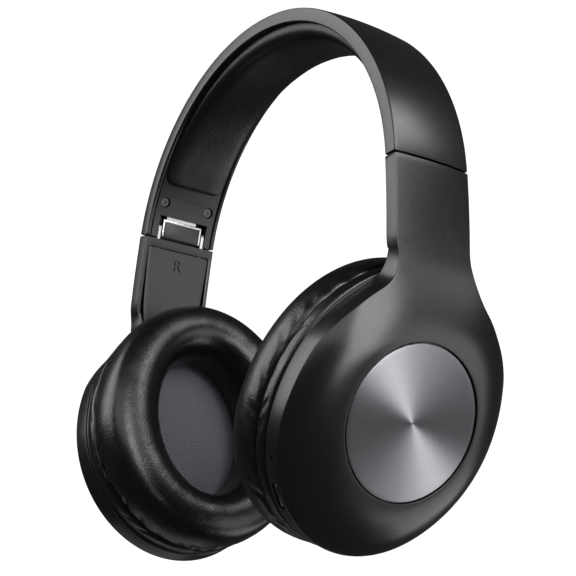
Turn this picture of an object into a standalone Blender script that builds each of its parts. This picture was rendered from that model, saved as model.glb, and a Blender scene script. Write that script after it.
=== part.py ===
"""Folding over-ear headphones, standing on the tips of the two ear cups.

Metres, +Z up, +X to the wearer's left, -Y to the wearer's front. One outer line runs from the
crown of the headband down over the arm to the foot of the cup. Every piece is placed by its
distance s along that line, its distance y from the middle and its offset o outward from the line.
"""
import math

import bmesh
import bpy
from mathutils import Matrix, Vector

MM = 0.001

# Headband: the outer line is two arcs down to the fold seam
CROWN_RADIUS = 73 * MM
CROWN_ARC = math.radians(41)
SIDE_RADIUS = 78 * MM
SIDE_ARC = math.radians(41.5)
BAND_WIDTH = 30 * MM
BAND_THICKNESS = 5.6 * MM
BAND_CROWN = 0.8 * MM
BAND_WALL = 1.3 * MM
BAND_SIDE_WALL = 1.6 * MM
COVER_THICKNESS = 1.0 * MM
COVER_RECESS = 0.3 * MM
SEAM_GAP = 0.6 * MM
CLEARANCE = 0.3 * MM

# Arm: one long arc below the seam, a bend, and a straight run to the middle of the cup
ARM_RADIUS = 383 * MM
ARM_LENGTH = 51 * MM
BEND_RADIUS = 45 * MM
STRAIGHT_LENGTH = 17.3 * MM
CUP_TILT = math.radians(18.3)
ARM_BAR_HEIGHT = 3.5 * MM
ARM_WALL = 1.4 * MM
ARM_COVER_FOOT = 44 * MM
ARM_COVER_EASE = 1.6 * MM

# Cup: an egg outline that leans to the rear as it rises, by this share of its height
CUP_HALF_WIDTH = 40.5 * MM
CUP_WIDEST_BELOW = 1.0 * MM
CUP_BELOW_WIDEST = 43 * MM
CUP_ABOVE_WIDEST = 47 * MM
CUP_LEAN = 0.10
LEAN_ENDS = (36 * MM, 56 * MM)
FLARE_START = math.asin(0.84)
DOME_RISE = 8.3 * MM
RIM_DEPTH = 6.2 * MM
CUP_WALL = 1.6 * MM

# Disc set into the middle of the cup
DISC_RADIUS = 24.15 * MM
DISC_THICKNESS = 1.0 * MM
DISC_GAP = 0.6 * MM
DISC_SUNK = 0.3 * MM

# Baffle, driver, cloth and cushion, stacked inward from the rim of the cup
BAFFLE_DEPTH = 3.0 * MM
BAFFLE_EDGE = 0.5 * MM
BAFFLE_TAPER = 2.0 * MM
BAFFLE_LAND = 2.5 * MM
BAFFLE_STEP = 1.6 * MM
DRIVER_RADIUS = 20 * MM
MAGNET_RADIUS = 9.5 * MM
MAGNET_DEPTH = 5.5 * MM
RING_WIDTH = 2.8 * MM
RING_THICKNESS = 1.1 * MM
CLOTH_HALF_WIDTH = 25 * MM
CLOTH_HALF_HEIGHT = 32 * MM
CLOTH_THICKNESS = 0.4 * MM
CUSHION_OVERHANG = 1.0 * MM
CUSHION_DEPTH = 14.6 * MM
HOLE_HALF_WIDTH = 18.5 * MM
HOLE_HALF_HEIGHT = 26.5 * MM
HOLE_RAISED = 1.0 * MM

# Pad under the crown of the headband
PAD_WIDTH = 25.6 * MM
PAD_END_THICKNESS = 1.4 * MM
PAD_MIDDLE_THICKNESS = 6.4 * MM
PAD_END_ABOVE_SEAM = 22 * MM
SPRING_WIDTH = 12 * MM
SPRING_THICKNESS = 0.7 * MM
SPRING_HALF_LENGTH = 60 * MM

# Size slider: a steel strip bowed less than the band, so it runs in the band's hollow on its own arc
STRIP_RADIUS = 150 * MM
STRIP_WIDTH = 13 * MM
STRIP_THICKNESS = 0.7 * MM
STRIP_TOP_ABOVE_SEAM = 36 * MM

# Fold hinge at the seam: the pin crosses the slider's block and the arm's two ears
PIN_ABOVE_SEAM = 4.0 * MM
PIN_DEPTH = 3.7 * MM
PIN_RADIUS = 0.75 * MM
PIN_CLEARANCE = 0.2 * MM
BLOCK_HALF_WIDTH = 8.6 * MM
BLOCK_TOP = 7.4 * MM
BLOCK_OUTER = 2.3 * MM
BLOCK_INNER = 5.35 * MM
BLOCK_FLOOR = 4.9 * MM
BLOCK_FRAME = 0.8 * MM
EAR_GAP = 0.4 * MM
EAR_THICKNESS = 1.1 * MM
EAR_RADIUS = 1.45 * MM
FORK_LENGTH = 12 * MM
FORK_THICKNESS = 0.9 * MM
WINDOW_TOP = 8.6 * MM

# Screws through the inner cover
SCREW_ABOVE_SEAM = 14.5 * MM
SCREW_OFFSET = 9.6 * MM
SCREW_HEAD_RADIUS = 1.6 * MM
SCREW_SHANK_RADIUS = 0.8 * MM
SCREW_HEAD_THICKNESS = 1.0 * MM

# Controls and sockets in the rim of the left cup, by angle below the level of its widest place
BUTTON_ANGLES = {"volume_up_button": 24, "multi_function_button": 40, "volume_down_button": 56}
BUTTON_LENGTH = 7.4 * MM
BUTTON_WIDTH = 3.0 * MM
BUTTON_PROUD = 0.7 * MM
BUTTON_LIP = 0.6 * MM
BUTTON_STEM = 1.0 * MM
PORT_ANGLE = 42
PORT_LENGTH = 8.4 * MM
PORT_WIDTH = 2.8 * MM
PORT_DEPTH = 5.0 * MM
PORT_WALL = 0.45 * MM
MIC_ANGLE = 24
MIC_HOLE_RADIUS = 0.7 * MM
MIC_RADIUS = 1.6 * MM
MIC_THICKNESS = 1.4 * MM

# Electronics on the floor of each cup
BOARD_SIZE = (34 * MM, 24 * MM, 1.2 * MM)
CELL_SIZE = (32 * MM, 22 * MM, 4.5 * MM)

ARC_STEPS = 20
EGG_STEPS = 36
DOME_RINGS = 6
ROUND_STEPS = 32


def clear_scene():
    for obj in list(bpy.data.objects):
        bpy.data.objects.remove(obj)


def make_collection(name):
    collection = bpy.data.collections.new(name)
    bpy.context.scene.collection.children.link(collection)
    return collection


def hex_to_linear(code):
    """Linear RGBA of an sRGB colour written as hex digits."""
    values = [int(code[i:i + 2], 16) / 255 for i in (0, 2, 4)]
    return [v / 12.92 if v <= 0.04045 else ((v + 0.055) / 1.055) ** 2.4 for v in values] + [1.0]


def make_material(name, colour, metallic, roughness):
    material = bpy.data.materials.new(name)
    material.use_nodes = True
    shader = material.node_tree.nodes["Principled BSDF"]
    shader.inputs["Base Color"].default_value = hex_to_linear(colour)
    shader.inputs["Metallic"].default_value = metallic
    shader.inputs["Roughness"].default_value = roughness
    material.diffuse_color = hex_to_linear(colour)
    return material


# The outer line ---------------------------------------------------------------------------------

SEAM_S = CROWN_RADIUS * CROWN_ARC + SIDE_RADIUS * SIDE_ARC
ARM_TURN = CROWN_ARC + SIDE_ARC + ARM_LENGTH / ARM_RADIUS
CUP_TURN = math.pi / 2 + CUP_TILT
BEND_LENGTH = BEND_RADIUS * (CUP_TURN - ARM_TURN)
DISC_S = SEAM_S + ARM_LENGTH + BEND_LENGTH + STRAIGHT_LENGTH
CUP_FOOT = CUP_WIDEST_BELOW + CUP_BELOW_WIDEST


def line_from_crown(s):
    """Place (x, z below the crown) of the outer line at the distance s, and how far it has turned."""
    x, z, turn = 0.0, 0.0, 0.0
    arcs = (
        (CROWN_RADIUS * CROWN_ARC, CROWN_RADIUS),
        (SIDE_RADIUS * SIDE_ARC, SIDE_RADIUS),
        (ARM_LENGTH, ARM_RADIUS),
        (BEND_LENGTH, BEND_RADIUS),
    )
    for length, radius in arcs:
        step = min(max(s, 0.0), length)
        after = turn + step / radius
        x += radius * (math.sin(after) - math.sin(turn))
        z -= radius * (math.cos(turn) - math.cos(after))
        turn = after
        s -= step
    return x + s * math.cos(turn), z - s * math.sin(turn), turn


FOOT_X, FOOT_Z, _ = line_from_crown(DISC_S + CUP_FOOT)
CROWN_Z = -(FOOT_Z + DOME_RISE * math.sin(CUP_TILT))


def at(s, y, o, side=1):
    """World point at the distance s along the outer line, y across and o outward. s < 0 is the far side."""
    if s < 0:
        s, side = -s, -side
    x, z, turn = line_from_crown(s)
    return Vector((side * (x + o * math.sin(turn)), y, CROWN_Z + z + o * math.cos(turn)))


def line_frame(s, y, o, side=1):
    """Matrix whose X runs across the band, Y up along the line and Z outward."""
    turn = line_from_crown(s)[2]
    up = Vector((-side * math.cos(turn), 0, math.sin(turn)))
    outward = Vector((side * math.sin(turn), 0, math.cos(turn)))
    return matrix_of(up.cross(outward), up, outward, at(s, y, o, side))


def matrix_of(x_axis, y_axis, z_axis, origin):
    rotation = Matrix((x_axis, y_axis, z_axis)).transposed()
    return Matrix.Translation(origin) @ rotation.to_4x4()


def in_cup(y, v, o, side=1):
    """World point in the flat frame of the cup: y across, v up from the middle of the disc, o outward."""
    return at(DISC_S, y, 0, side) + v * cup_up(side) + o * cup_out(side)


def cup_up(side=1):
    return Vector((side * math.sin(CUP_TILT), 0, math.cos(CUP_TILT)))


def cup_out(side=1):
    return Vector((side * math.cos(CUP_TILT), 0, -math.sin(CUP_TILT)))


def cup_frame(v, o, side=1):
    """Matrix whose Z is the cup's outward axis and Y runs up the cup."""
    out = cup_out(side)
    up = cup_up(side)
    return matrix_of(up.cross(out), up, out, in_cup(0, v, o, side))


# Outlines ---------------------------------------------------------------------------------------

def egg_point(angle, inset=0.0):
    """Point (y, v) of the cup's egg at an angle above its widest level, moved inward by inset."""
    tall = CUP_ABOVE_WIDEST if math.sin(angle) > 0 else CUP_BELOW_WIDEST
    y = (CUP_HALF_WIDTH - inset) * math.cos(angle)
    return y, (tall - inset) * math.sin(angle) - CUP_WIDEST_BELOW


def leaned(points):
    """The points moved to the rear by the cup's lean, all the way up."""
    return [(y + CUP_LEAN * v, v) for y, v in points]


def arm_lean(u):
    """How far the shell is moved to the rear at the height u: the lean dies out up the neck."""
    low, high = LEAN_ENDS
    step = min(max((high - u) / (high - low), 0.0), 1.0)
    return CUP_LEAN * u * step * step * (3 - 2 * step)


def egg_ring(inset):
    turns = [2 * math.pi * i / EGG_STEPS for i in range(EGG_STEPS)]
    return leaned([egg_point(a, inset) for a in turns])


def oval_ring(half_width, half_height, raised=0.0):
    turns = [2 * math.pi * i / EGG_STEPS for i in range(EGG_STEPS)]
    return leaned([(half_width * math.cos(a), half_height * math.sin(a) + raised) for a in turns])


def circle_ring(radius):
    turns = [2 * math.pi * i / EGG_STEPS for i in range(EGG_STEPS)]
    return [(radius * math.cos(a), radius * math.sin(a)) for a in turns]


def flare():
    """Radius of the fillet between egg and neck, the height where it ends, and its turn."""
    y, u = egg_point(FLARE_START)
    slope = math.tan(FLARE_START) * CUP_HALF_WIDTH / CUP_ABOVE_WIDEST
    turn = math.atan(slope)
    radius = (y - BAND_WIDTH / 2) / (1 - math.cos(turn))
    return radius, u + radius * math.sin(turn), turn


def half_outline(inset=0.0, bar=0.0):
    """Points (y, u) of the shell's outline from its foot up to the middle of the seam, u above the disc."""
    radius, neck_u, turn = flare()
    points = []
    for i in range(15):
        angle = -math.pi / 2 + (FLARE_START + math.pi / 2) * i / 14
        points.append(egg_point(angle, inset))
    for i in range(1, 6):
        angle = turn * (1 - i / 5)
        y = BAND_WIDTH / 2 + radius - (radius + inset) * math.cos(angle)
        points.append((y, neck_u - (radius + inset) * math.sin(angle)))
    top = DISC_S - SEAM_S - SEAM_GAP / 2 - bar
    neck = BAND_WIDTH / 2 - inset
    for i in range(1, 4):
        points.append((neck, neck_u + (top - neck_u) * i / 3))
    for i in range(1, 4):
        points.append((neck * (1 - i / 3), top))
    return points


def outline(inset=0.0, bar=0.0):
    """The whole outline, front half and rear half."""
    half = half_outline(inset, bar)
    whole = half + [(-y, u) for y, u in reversed(half[1:-1])]
    return [(y + arm_lean(u), u) for y, u in whole]


def half_width_at(u):
    """Half the width of the shell at the height u above the disc, from the flare upward."""
    points = half_outline()[14:-3]
    for (y0, u0), (y1, u1) in zip(points, points[1:]):
        if u <= u1:
            return y0 + (y1 - y0) * (u - u0) / (u1 - u0)
    return BAND_WIDTH / 2


def edge_drop(y, u):
    """How far the shell's edge lies inward from the outer line at the height u."""
    step = min(max((u - 14 * MM) / (36 * MM), 0.0), 1.0)
    smooth = step * step * (3 - 2 * step)
    at_neck = BAND_CROWN * (2 * y / BAND_WIDTH) ** 2
    return DOME_RISE + (at_neck - DOME_RISE) * smooth


# Mesh helpers -----------------------------------------------------------------------------------

def add_object(name, mesh, material, collection, parent=None):
    obj = bpy.data.objects.new(name, mesh)
    collection.objects.link(obj)
    if material:
        mesh.materials.clear()
        mesh.materials.append(material)
    if parent:
        bpy.context.view_layer.update()
        obj.parent = parent
        obj.matrix_parent_inverse = parent.matrix_world.inverted()
    return obj


def loft_mesh(name, rings, closed=False):
    """Skin through rings of equal length. The ends are capped, or joined when closed."""
    bm = bmesh.new()
    rows = [[bm.verts.new(point) for point in ring] for ring in rings]
    pairs = list(zip(rows, rows[1:]))
    if closed:
        pairs.append((rows[-1], rows[0]))
    for row, after in pairs:
        for i in range(len(row)):
            j = (i + 1) % len(row)
            bm.faces.new((row[i], row[j], after[j], after[i]))
    if not closed:
        bm.faces.new(rows[0])
        bm.faces.new(rows[-1])
    bmesh.ops.recalc_face_normals(bm, faces=bm.faces)
    mesh = bpy.data.meshes.new(name)
    bm.to_mesh(mesh)
    bm.free()
    mesh.shade_smooth()
    mesh.set_sharp_from_angle(angle=math.radians(35))
    return mesh


def box_mesh(name, low, high, bevel=0.0):
    bm = bmesh.new()
    bmesh.ops.create_cube(bm, size=1)
    size = Vector(high) - Vector(low)
    bmesh.ops.scale(bm, vec=size, verts=bm.verts)
    bmesh.ops.translate(bm, vec=(Vector(high) + Vector(low)) / 2, verts=bm.verts)
    if bevel:
        bmesh.ops.bevel(bm, geom=bm.edges, offset=bevel, segments=1, affect="EDGES")
    mesh = bpy.data.meshes.new(name)
    bm.to_mesh(mesh)
    bm.free()
    return mesh


def cylinder_mesh(name, radius, low, high, segments=16):
    """A cylinder along its own Z."""
    bm = bmesh.new()
    bmesh.ops.create_cone(
        bm, cap_ends=True, segments=segments, radius1=radius, radius2=radius, depth=high - low
    )
    bmesh.ops.translate(bm, vec=(0, 0, (high + low) / 2), verts=bm.verts)
    mesh = bpy.data.meshes.new(name)
    bm.to_mesh(mesh)
    bm.free()
    return mesh


def pill_ring(length, width, z, steps=4):
    """A slot outline in its own X and Y at the height z."""
    radius = width / 2
    points = []
    for end in (1, -1):
        for i in range(steps + 1):
            angle = -math.pi / 2 + math.pi * i / steps
            x = end * (length / 2 - radius + radius * math.cos(angle))
            points.append(Vector((x, end * radius * math.sin(angle), z)))
    return points


def turned(name, profile, material, collection, parent, frame):
    """A turned piece: the profile (radius, height) runs down its outer side, about its own Z."""
    mesh = bpy.data.meshes.new(name)
    points = [(r, 0, z) for r, z in profile]
    mesh.from_pydata(points, [(i, i + 1) for i in range(len(points) - 1)], [])
    obj = add_object(name, mesh, material, collection)
    screw = obj.modifiers.new("turn", "SCREW")
    screw.axis = "Z"
    screw.steps = ROUND_STEPS
    screw.render_steps = ROUND_STEPS
    screw.use_merge_vertices = True
    screw.merge_threshold = 0.00001
    screw.use_smooth_shade = False
    obj.matrix_world = frame
    attach(obj, parent)
    return obj


def attach(obj, parent):
    """Parents a placed object and keeps its place."""
    bpy.context.view_layer.update()
    place = obj.matrix_world.copy()
    obj.parent = parent
    obj.matrix_parent_inverse = parent.matrix_world.inverted()
    obj.matrix_world = place


def placed(name, mesh, material, collection, parent, frame):
    obj = add_object(name, mesh, material, collection)
    obj.matrix_world = frame
    attach(obj, parent)
    return obj


def cut(target, cutter_mesh, frame, cutters, operation="DIFFERENCE"):
    """Cuts a hidden tool out of the target, or joins it on."""
    tool = bpy.data.objects.new(f"{target.name}_tool_{len(target.modifiers)}", cutter_mesh)
    cutters.objects.link(tool)
    tool.matrix_world = frame
    tool.hide_render = True
    tool.display_type = "WIRE"
    boolean = target.modifiers.new("cut", "BOOLEAN")
    boolean.operation = operation
    boolean.solver = "EXACT"
    boolean.object = tool
    if target.parent:
        attach(tool, target.parent)


def joint_empty(name, frame, collection, parent=None):
    empty = bpy.data.objects.new(name, None)
    empty.empty_display_size = 0.01
    collection.objects.link(empty)
    empty.matrix_world = frame
    if parent:
        attach(empty, parent)
    return empty


# Headband ---------------------------------------------------------------------------------------

def band_stations(end, count):
    return [-end + 2 * end * i / count for i in range(count + 1)]


def crown_drop(y):
    return -BAND_CROWN * (2 * y / BAND_WIDTH) ** 2


def band_shell_section():
    """Section (y, o) of the outer shell: a crowned top, two side walls and the hollow between."""
    half = BAND_WIDTH / 2
    chamfer = 0.4 * MM
    crown = [-half + chamfer + (BAND_WIDTH - 2 * chamfer) * i / 6 for i in range(7)]
    points = [(y, crown_drop(y)) for y in crown]
    points.append((half, crown_drop(half) - chamfer))
    points.append((half, -BAND_THICKNESS))
    points.append((half - BAND_SIDE_WALL, -BAND_THICKNESS))
    points.append((half - BAND_SIDE_WALL, -BAND_WALL))
    points.append((BAND_SIDE_WALL - half, -BAND_WALL))
    points.append((BAND_SIDE_WALL - half, -BAND_THICKNESS))
    points.append((-half, -BAND_THICKNESS))
    points.append((-half, crown_drop(half) - chamfer))
    return points


def along_band(section, end, count):
    return [[at(s, y, o) for y, o in section] for s in band_stations(end, count)]


def rectangle(half_width, o_low, o_high):
    return [(-half_width, o_low), (half_width, o_low), (half_width, o_high), (-half_width, o_high)]


def make_band_shell(parts, parent, material):
    rings = along_band(band_shell_section(), SEAM_S - SEAM_GAP / 2, 2 * ARC_STEPS)
    return add_object("band_outer_shell", loft_mesh("band_outer_shell", rings), material, parts, parent)


COVER_HALF_WIDTH = BAND_WIDTH / 2 - BAND_SIDE_WALL - CLEARANCE
COVER_INNER = -BAND_THICKNESS + COVER_RECESS
COVER_OUTER = COVER_INNER + COVER_THICKNESS


def make_band_cover(parts, cutters, parent, material):
    """Inner cover with a window at each seam and a hole for each screw."""
    section = rectangle(COVER_HALF_WIDTH, COVER_INNER, COVER_OUTER)
    rings = along_band(section, SEAM_S - SEAM_GAP / 2, 2 * ARC_STEPS)
    cover = add_object("band_inner_cover", loft_mesh("band_inner_cover", rings), material, parts, parent)
    half = BLOCK_HALF_WIDTH + EAR_GAP + EAR_THICKNESS + EAR_GAP
    for side in (1, -1):
        window = box_mesh("window", (-half, -2 * MM, -3 * MM), (half, WINDOW_TOP, 3 * MM))
        cut(cover, window, line_frame(SEAM_S, 0, COVER_INNER, side), cutters)
        for y in (-SCREW_OFFSET, SCREW_OFFSET):
            hole = cylinder_mesh("screw_hole", SCREW_HEAD_RADIUS + CLEARANCE, -3 * MM, 3 * MM)
            cut(cover, hole, line_frame(SEAM_S - SCREW_ABOVE_SEAM, y, COVER_INNER, side), cutters)
    return cover


def make_band_screws(parts, parent, material):
    """Four screws with flat heads sunk in the cover's holes, heads facing the wearer."""
    head_low = -SCREW_HEAD_THICKNESS
    tip = BAND_THICKNESS - COVER_RECESS - BAND_WALL - CLEARANCE - 0.2 * MM
    for side, side_name in ((1, "left"), (-1, "right")):
        for y, end_name in ((-SCREW_OFFSET, "front"), (SCREW_OFFSET, "rear")):
            frame = line_frame(SEAM_S - SCREW_ABOVE_SEAM, y, COVER_INNER + 0.2 * MM, side)
            profile = [
                (0, tip),
                (SCREW_SHANK_RADIUS, tip),
                (SCREW_SHANK_RADIUS, -head_low),
                (SCREW_HEAD_RADIUS, -head_low),
                (SCREW_HEAD_RADIUS, 0),
                (0, 0),
            ]
            screw = turned(f"{side_name}_{end_name}_screw", profile, material, parts, parent, frame)
            screw.modifiers["turn"].steps = 12
            screw.modifiers["turn"].render_steps = 12


def pad_thickness(s):
    """The pad swells from its thin ends to the crown."""
    share = max(math.cos(math.pi / 2 * abs(s) / (SEAM_S - PAD_END_ABOVE_SEAM)), 0.0)
    return PAD_END_THICKNESS + (PAD_MIDDLE_THICKNESS - PAD_END_THICKNESS) * share ** 1.3


def pad_section(s):
    """Section of the pad: a flat back on the cover and a face with rounded edges."""
    end = SEAM_S - PAD_END_ABOVE_SEAM
    corner = 6 * MM
    from_end = min(max((end - abs(s)) / corner, 0.0), 1.0)
    half = PAD_WIDTH / 2 - corner * 0.6 * (1 - math.sqrt(1 - (1 - from_end) ** 2))
    back = COVER_INNER - CLEARANCE
    deep = pad_thickness(s)
    return [
        (-half, back),
        (half, back),
        (half, back - 0.45 * deep),
        (half * 0.93, back - 0.8 * deep),
        (half * 0.6, back - 0.96 * deep),
        (0, back - deep),
        (-half * 0.6, back - 0.96 * deep),
        (-half * 0.93, back - 0.8 * deep),
        (-half, back - 0.45 * deep),
    ]


def make_head_pad(parts, parent, material):
    end = SEAM_S - PAD_END_ABOVE_SEAM
    near_end = [end, end - 1.5 * MM, end - 4 * MM]
    inner = band_stations(end - 8 * MM, 26)
    stations = [-s for s in near_end] + inner + near_end[::-1]
    rings = [[at(s, y, o) for y, o in pad_section(s)] for s in stations]
    add_object("head_pad", loft_mesh("head_pad", rings), material, parts, parent)


def make_band_spring(parts, parent, material):
    top = -BAND_WALL - CLEARANCE
    section = rectangle(SPRING_WIDTH / 2, top - SPRING_THICKNESS, top)
    rings = along_band(section, SPRING_HALF_LENGTH, ARC_STEPS)
    add_object("band_spring_strip", loft_mesh("band_spring_strip", rings), material, parts, parent)


# Size slider and fold hinge ---------------------------------------------------------------------

STRIP_MIDDLE_S = SEAM_S - STRIP_TOP_ABOVE_SEAM / 2
STRIP_MIDDLE_O = -(BAND_WALL + (-COVER_OUTER)) / 2 - 0.6 * MM


def slide_centre(side):
    """Centre of the strip's arc, far across the head."""
    return at(STRIP_MIDDLE_S, 0, STRIP_MIDDLE_O - STRIP_RADIUS, side)


def on_strip(above_seam, y, o, side):
    """World point on the strip's own arc at a distance above the seam."""
    turn = line_from_crown(STRIP_MIDDLE_S)[2]
    middle_above = STRIP_TOP_ABOVE_SEAM / 2 * (1 + STRIP_MIDDLE_O / SIDE_RADIUS)
    turn += (middle_above - above_seam) / STRIP_RADIUS
    reach = STRIP_RADIUS + o
    centre = slide_centre(side)
    return Vector((centre.x + side * reach * math.sin(turn), y, centre.z + reach * math.cos(turn)))


def make_slider_strip(name, parts, parent, material, side):
    low = BLOCK_TOP + CLEARANCE
    half = STRIP_THICKNESS / 2
    rings = []
    for i in range(7):
        above = low + (STRIP_TOP_ABOVE_SEAM - low) * i / 6
        section = rectangle(STRIP_WIDTH / 2, -half, half)
        rings.append([on_strip(above, y, o, side) for y, o in section])
    add_object(name, loft_mesh(name, rings), material, parts, parent)


def pin_frame(side):
    """Matrix at the middle of the pin with Z along it."""
    base = line_frame(SEAM_S, 0, 0, side)
    turn = Matrix.Rotation(math.pi / 2, 4, "Y")
    return base @ Matrix.Translation((0, PIN_ABOVE_SEAM, -PIN_DEPTH)) @ turn


def make_hinge_block(name, parts, cutters, parent, material, side):
    """Bright block at the foot of the strip, with a shallow seat for its cap and a hole for the pin."""
    base = line_frame(SEAM_S, 0, 0, side)
    low = (-BLOCK_HALF_WIDTH, SEAM_GAP, -BLOCK_INNER)
    high = (BLOCK_HALF_WIDTH, BLOCK_TOP, -BLOCK_OUTER)
    block = placed(name, box_mesh(name, low, high, 0.25 * MM), material, parts, parent, base)
    half = BLOCK_HALF_WIDTH - BLOCK_FRAME
    seat = box_mesh(
        "seat", (-half, -2 * MM, -8 * MM), (half, BLOCK_TOP - BLOCK_FRAME, -BLOCK_FLOOR)
    )
    cut(block, seat, base, cutters)
    bore = cylinder_mesh("bore", PIN_RADIUS + PIN_CLEARANCE, -12 * MM, 12 * MM)
    cut(block, bore, pin_frame(side), cutters)


def make_hinge_cap(name, parts, parent, material, side):
    """Dark cap that fills the block's seat, flush with the inner cover."""
    base = line_frame(SEAM_S, 0, 0, side)
    half = BLOCK_HALF_WIDTH - BLOCK_FRAME - CLEARANCE
    top = BLOCK_TOP - BLOCK_FRAME - CLEARANCE
    low = (-half, SEAM_GAP, -BAND_THICKNESS)
    high = (half, top, -BLOCK_FLOOR - CLEARANCE)
    placed(name, box_mesh(name, low, high), material, parts, parent, base)


def make_hinge_pin(name, parts, parent, material, side):
    half = BLOCK_HALF_WIDTH + EAR_GAP + EAR_THICKNESS
    mesh = cylinder_mesh(name, PIN_RADIUS, -half, half, 12)
    placed(name, mesh, material, parts, parent, pin_frame(side))


EAR_INNER_Y = BLOCK_HALF_WIDTH + EAR_GAP
EAR_OUTER_Y = EAR_INNER_Y + EAR_THICKNESS


def ear_mesh(name, side_y):
    """An ear plate: a round head about the pin on a stem that runs down into the arm."""
    low, high = sorted((side_y * EAR_INNER_Y, side_y * EAR_OUTER_Y))
    bar_foot = -SEAM_GAP / 2 - ARM_BAR_HEIGHT
    over_cover = PIN_DEPTH + COVER_OUTER + CLEARANCE
    outline_points = [(-FORK_LENGTH, EAR_RADIUS), (-FORK_LENGTH, over_cover)]
    outline_points += [(bar_foot, over_cover), (bar_foot, -EAR_RADIUS)]
    for i in range(7):
        angle = -math.pi / 2 + math.pi * i / 6
        outline_points.append((PIN_ABOVE_SEAM + EAR_RADIUS * math.cos(angle), EAR_RADIUS * math.sin(angle)))
    rings = []
    for x in (low, high):
        rings.append([Vector((x, up, depth - PIN_DEPTH)) for up, depth in outline_points])
    return loft_mesh(name, rings)


def make_hinge_fork(name, parts, cutters, parent, material, side):
    """Steel fork of the arm: two ears joined by a plate inside the arm, with a bore for the pin."""
    base = line_frame(SEAM_S, 0, 0, side)
    fork = placed(name, ear_mesh(name, 1), material, parts, parent, base)
    outer = -PIN_DEPTH + EAR_RADIUS
    low = (-EAR_OUTER_Y, -FORK_LENGTH, outer - FORK_THICKNESS)
    high = (EAR_OUTER_Y, -SEAM_GAP / 2 - ARM_BAR_HEIGHT - CLEARANCE, outer)
    cut(fork, box_mesh("plate", low, high), base, cutters, "UNION")
    cut(fork, ear_mesh("ear", -1), base, cutters, "UNION")
    bore = cylinder_mesh("bore", PIN_RADIUS + PIN_CLEARANCE, -12 * MM, 12 * MM)
    cut(fork, bore, pin_frame(side), cutters)


# Arm and cup shell ------------------------------------------------------------------------------

def to_cup(point, side):
    """(y, v, o) of a world point in the flat frame of the cup."""
    away = point - at(DISC_S, 0, 0, side)
    return away.y, away.dot(cup_up(side)), away.dot(cup_out(side))


def dome_ring(edge, share, wall, side, recess):
    """Points part of the way from the recess to the edge, on a circular fall from flat to the edge."""
    ring = []
    for y, u in edge:
        reach = math.hypot(y, u)
        run = reach - recess
        drop = edge_drop(y, u) + DISC_SUNK
        radius = (run * run + drop * drop) / (2 * drop)
        fall = radius - math.sqrt(radius * radius - (run * share) ** 2)
        scale = (recess + run * share) / reach
        ring.append(at(DISC_S - u * scale, y * scale, DISC_SUNK - fall - wall, side))
    return ring


def round_ring(edge, radius, o, side):
    """A circle about the disc's middle, whose points look towards the outline's points."""
    ring = []
    for y, u in edge:
        reach = math.hypot(y, u)
        ring.append(in_cup(radius * y / reach, radius * u / reach, o, side))
    return ring


def rim_ring(edge, side):
    """The inward edge of the rim: the cup's flat rim plane, or the inner side of the arm where deeper."""
    rim = -DOME_RISE - RIM_DEPTH
    ring = []
    for y, u in edge:
        arm = at(DISC_S - u, y, -BAND_THICKNESS, side)
        crease = at(DISC_S - u, y, -edge_drop(y, u), side)
        v = to_cup(crease, side)[1]
        ring.append(arm if to_cup(arm, side)[2] < rim else in_cup(y, v, rim, side))
    return ring


def make_arm_cup_shell(name, parts, parent, material, side):
    """Arm and cup in one shell: recess for the disc, dome, side rim, and the hollow inside."""
    recess = DISC_RADIUS + DISC_GAP
    floor = -DISC_THICKNESS - CLEARANCE
    edge = outline()
    inner = outline(CUP_WALL, ARM_BAR_HEIGHT)
    rings = [round_ring(edge, recess, floor, side)]
    rings += [dome_ring(edge, i / DOME_RINGS, 0.0, side, recess) for i in range(DOME_RINGS + 1)]
    rings.append(rim_ring(edge, side))
    rings.append(rim_ring(inner, side))
    shares = [1 - i / 3 for i in range(3)]
    rings += [dome_ring(inner, share, ARM_WALL, side, recess + CUP_WALL) for share in shares]
    rings.append(round_ring(inner, recess + CUP_WALL, floor - CUP_WALL, side))
    mesh = loft_mesh(name, rings)
    return add_object(name, mesh, material, parts, parent)


def cut_ear_slots(shell, cutters, side):
    """Two slots in the bar at the top of the arm, which the fork's ears come out of."""
    base = line_frame(SEAM_S, 0, 0, side)
    for end in (1, -1):
        low_y, high_y = sorted((end * (EAR_INNER_Y - CLEARANCE), end * (EAR_OUTER_Y + CLEARANCE)))
        low = (low_y, -SEAM_GAP - ARM_BAR_HEIGHT - 2 * MM, -BAND_THICKNESS - 2 * MM)
        high = (high_y, 2 * MM, -PIN_DEPTH + EAR_RADIUS + CLEARANCE)
        cut(shell, box_mesh("slot", low, high), base, cutters)


def make_arm_cover(name, parts, parent, material, side):
    """Inner cover of the arm, flaring to meet the top of the baffle."""
    top = DISC_S - SEAM_S - SEAM_GAP / 2 - ARM_BAR_HEIGHT - CLEARANCE
    rows, columns = 8, 8
    layers = []
    for o in (COVER_INNER, COVER_OUTER):
        grid = []
        for r in range(rows + 1):
            share = r / rows
            half = half_width_at(top + (ARM_COVER_FOOT - top) * share) - CUP_WALL - CLEARANCE
            half -= ARM_COVER_EASE * share
            row = []
            for c in range(columns + 1):
                y = half * (2 * c / columns - 1)
                level = math.sqrt(1 - (y / CUP_HALF_WIDTH) ** 2)
                foot = CUP_ABOVE_WIDEST * level - CUP_WIDEST_BELOW + 2.2 * MM
                u = top + (foot - top) * share
                row.append(at(DISC_S - u, y + arm_lean(u), o, side))
            grid.append(row)
        layers.append(grid)
    mesh = slab_mesh(name, layers)
    add_object(name, mesh, material, parts, parent)


def slab_mesh(name, layers):
    """A slab between two grids of points of the same size."""
    rings = []
    low, high = layers
    for row_low, row_high in zip(low, high):
        rings.append(list(row_low) + list(reversed(row_high)))
    return loft_mesh(name, rings)


# Pieces stacked in the cup ----------------------------------------------------------------------

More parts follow.
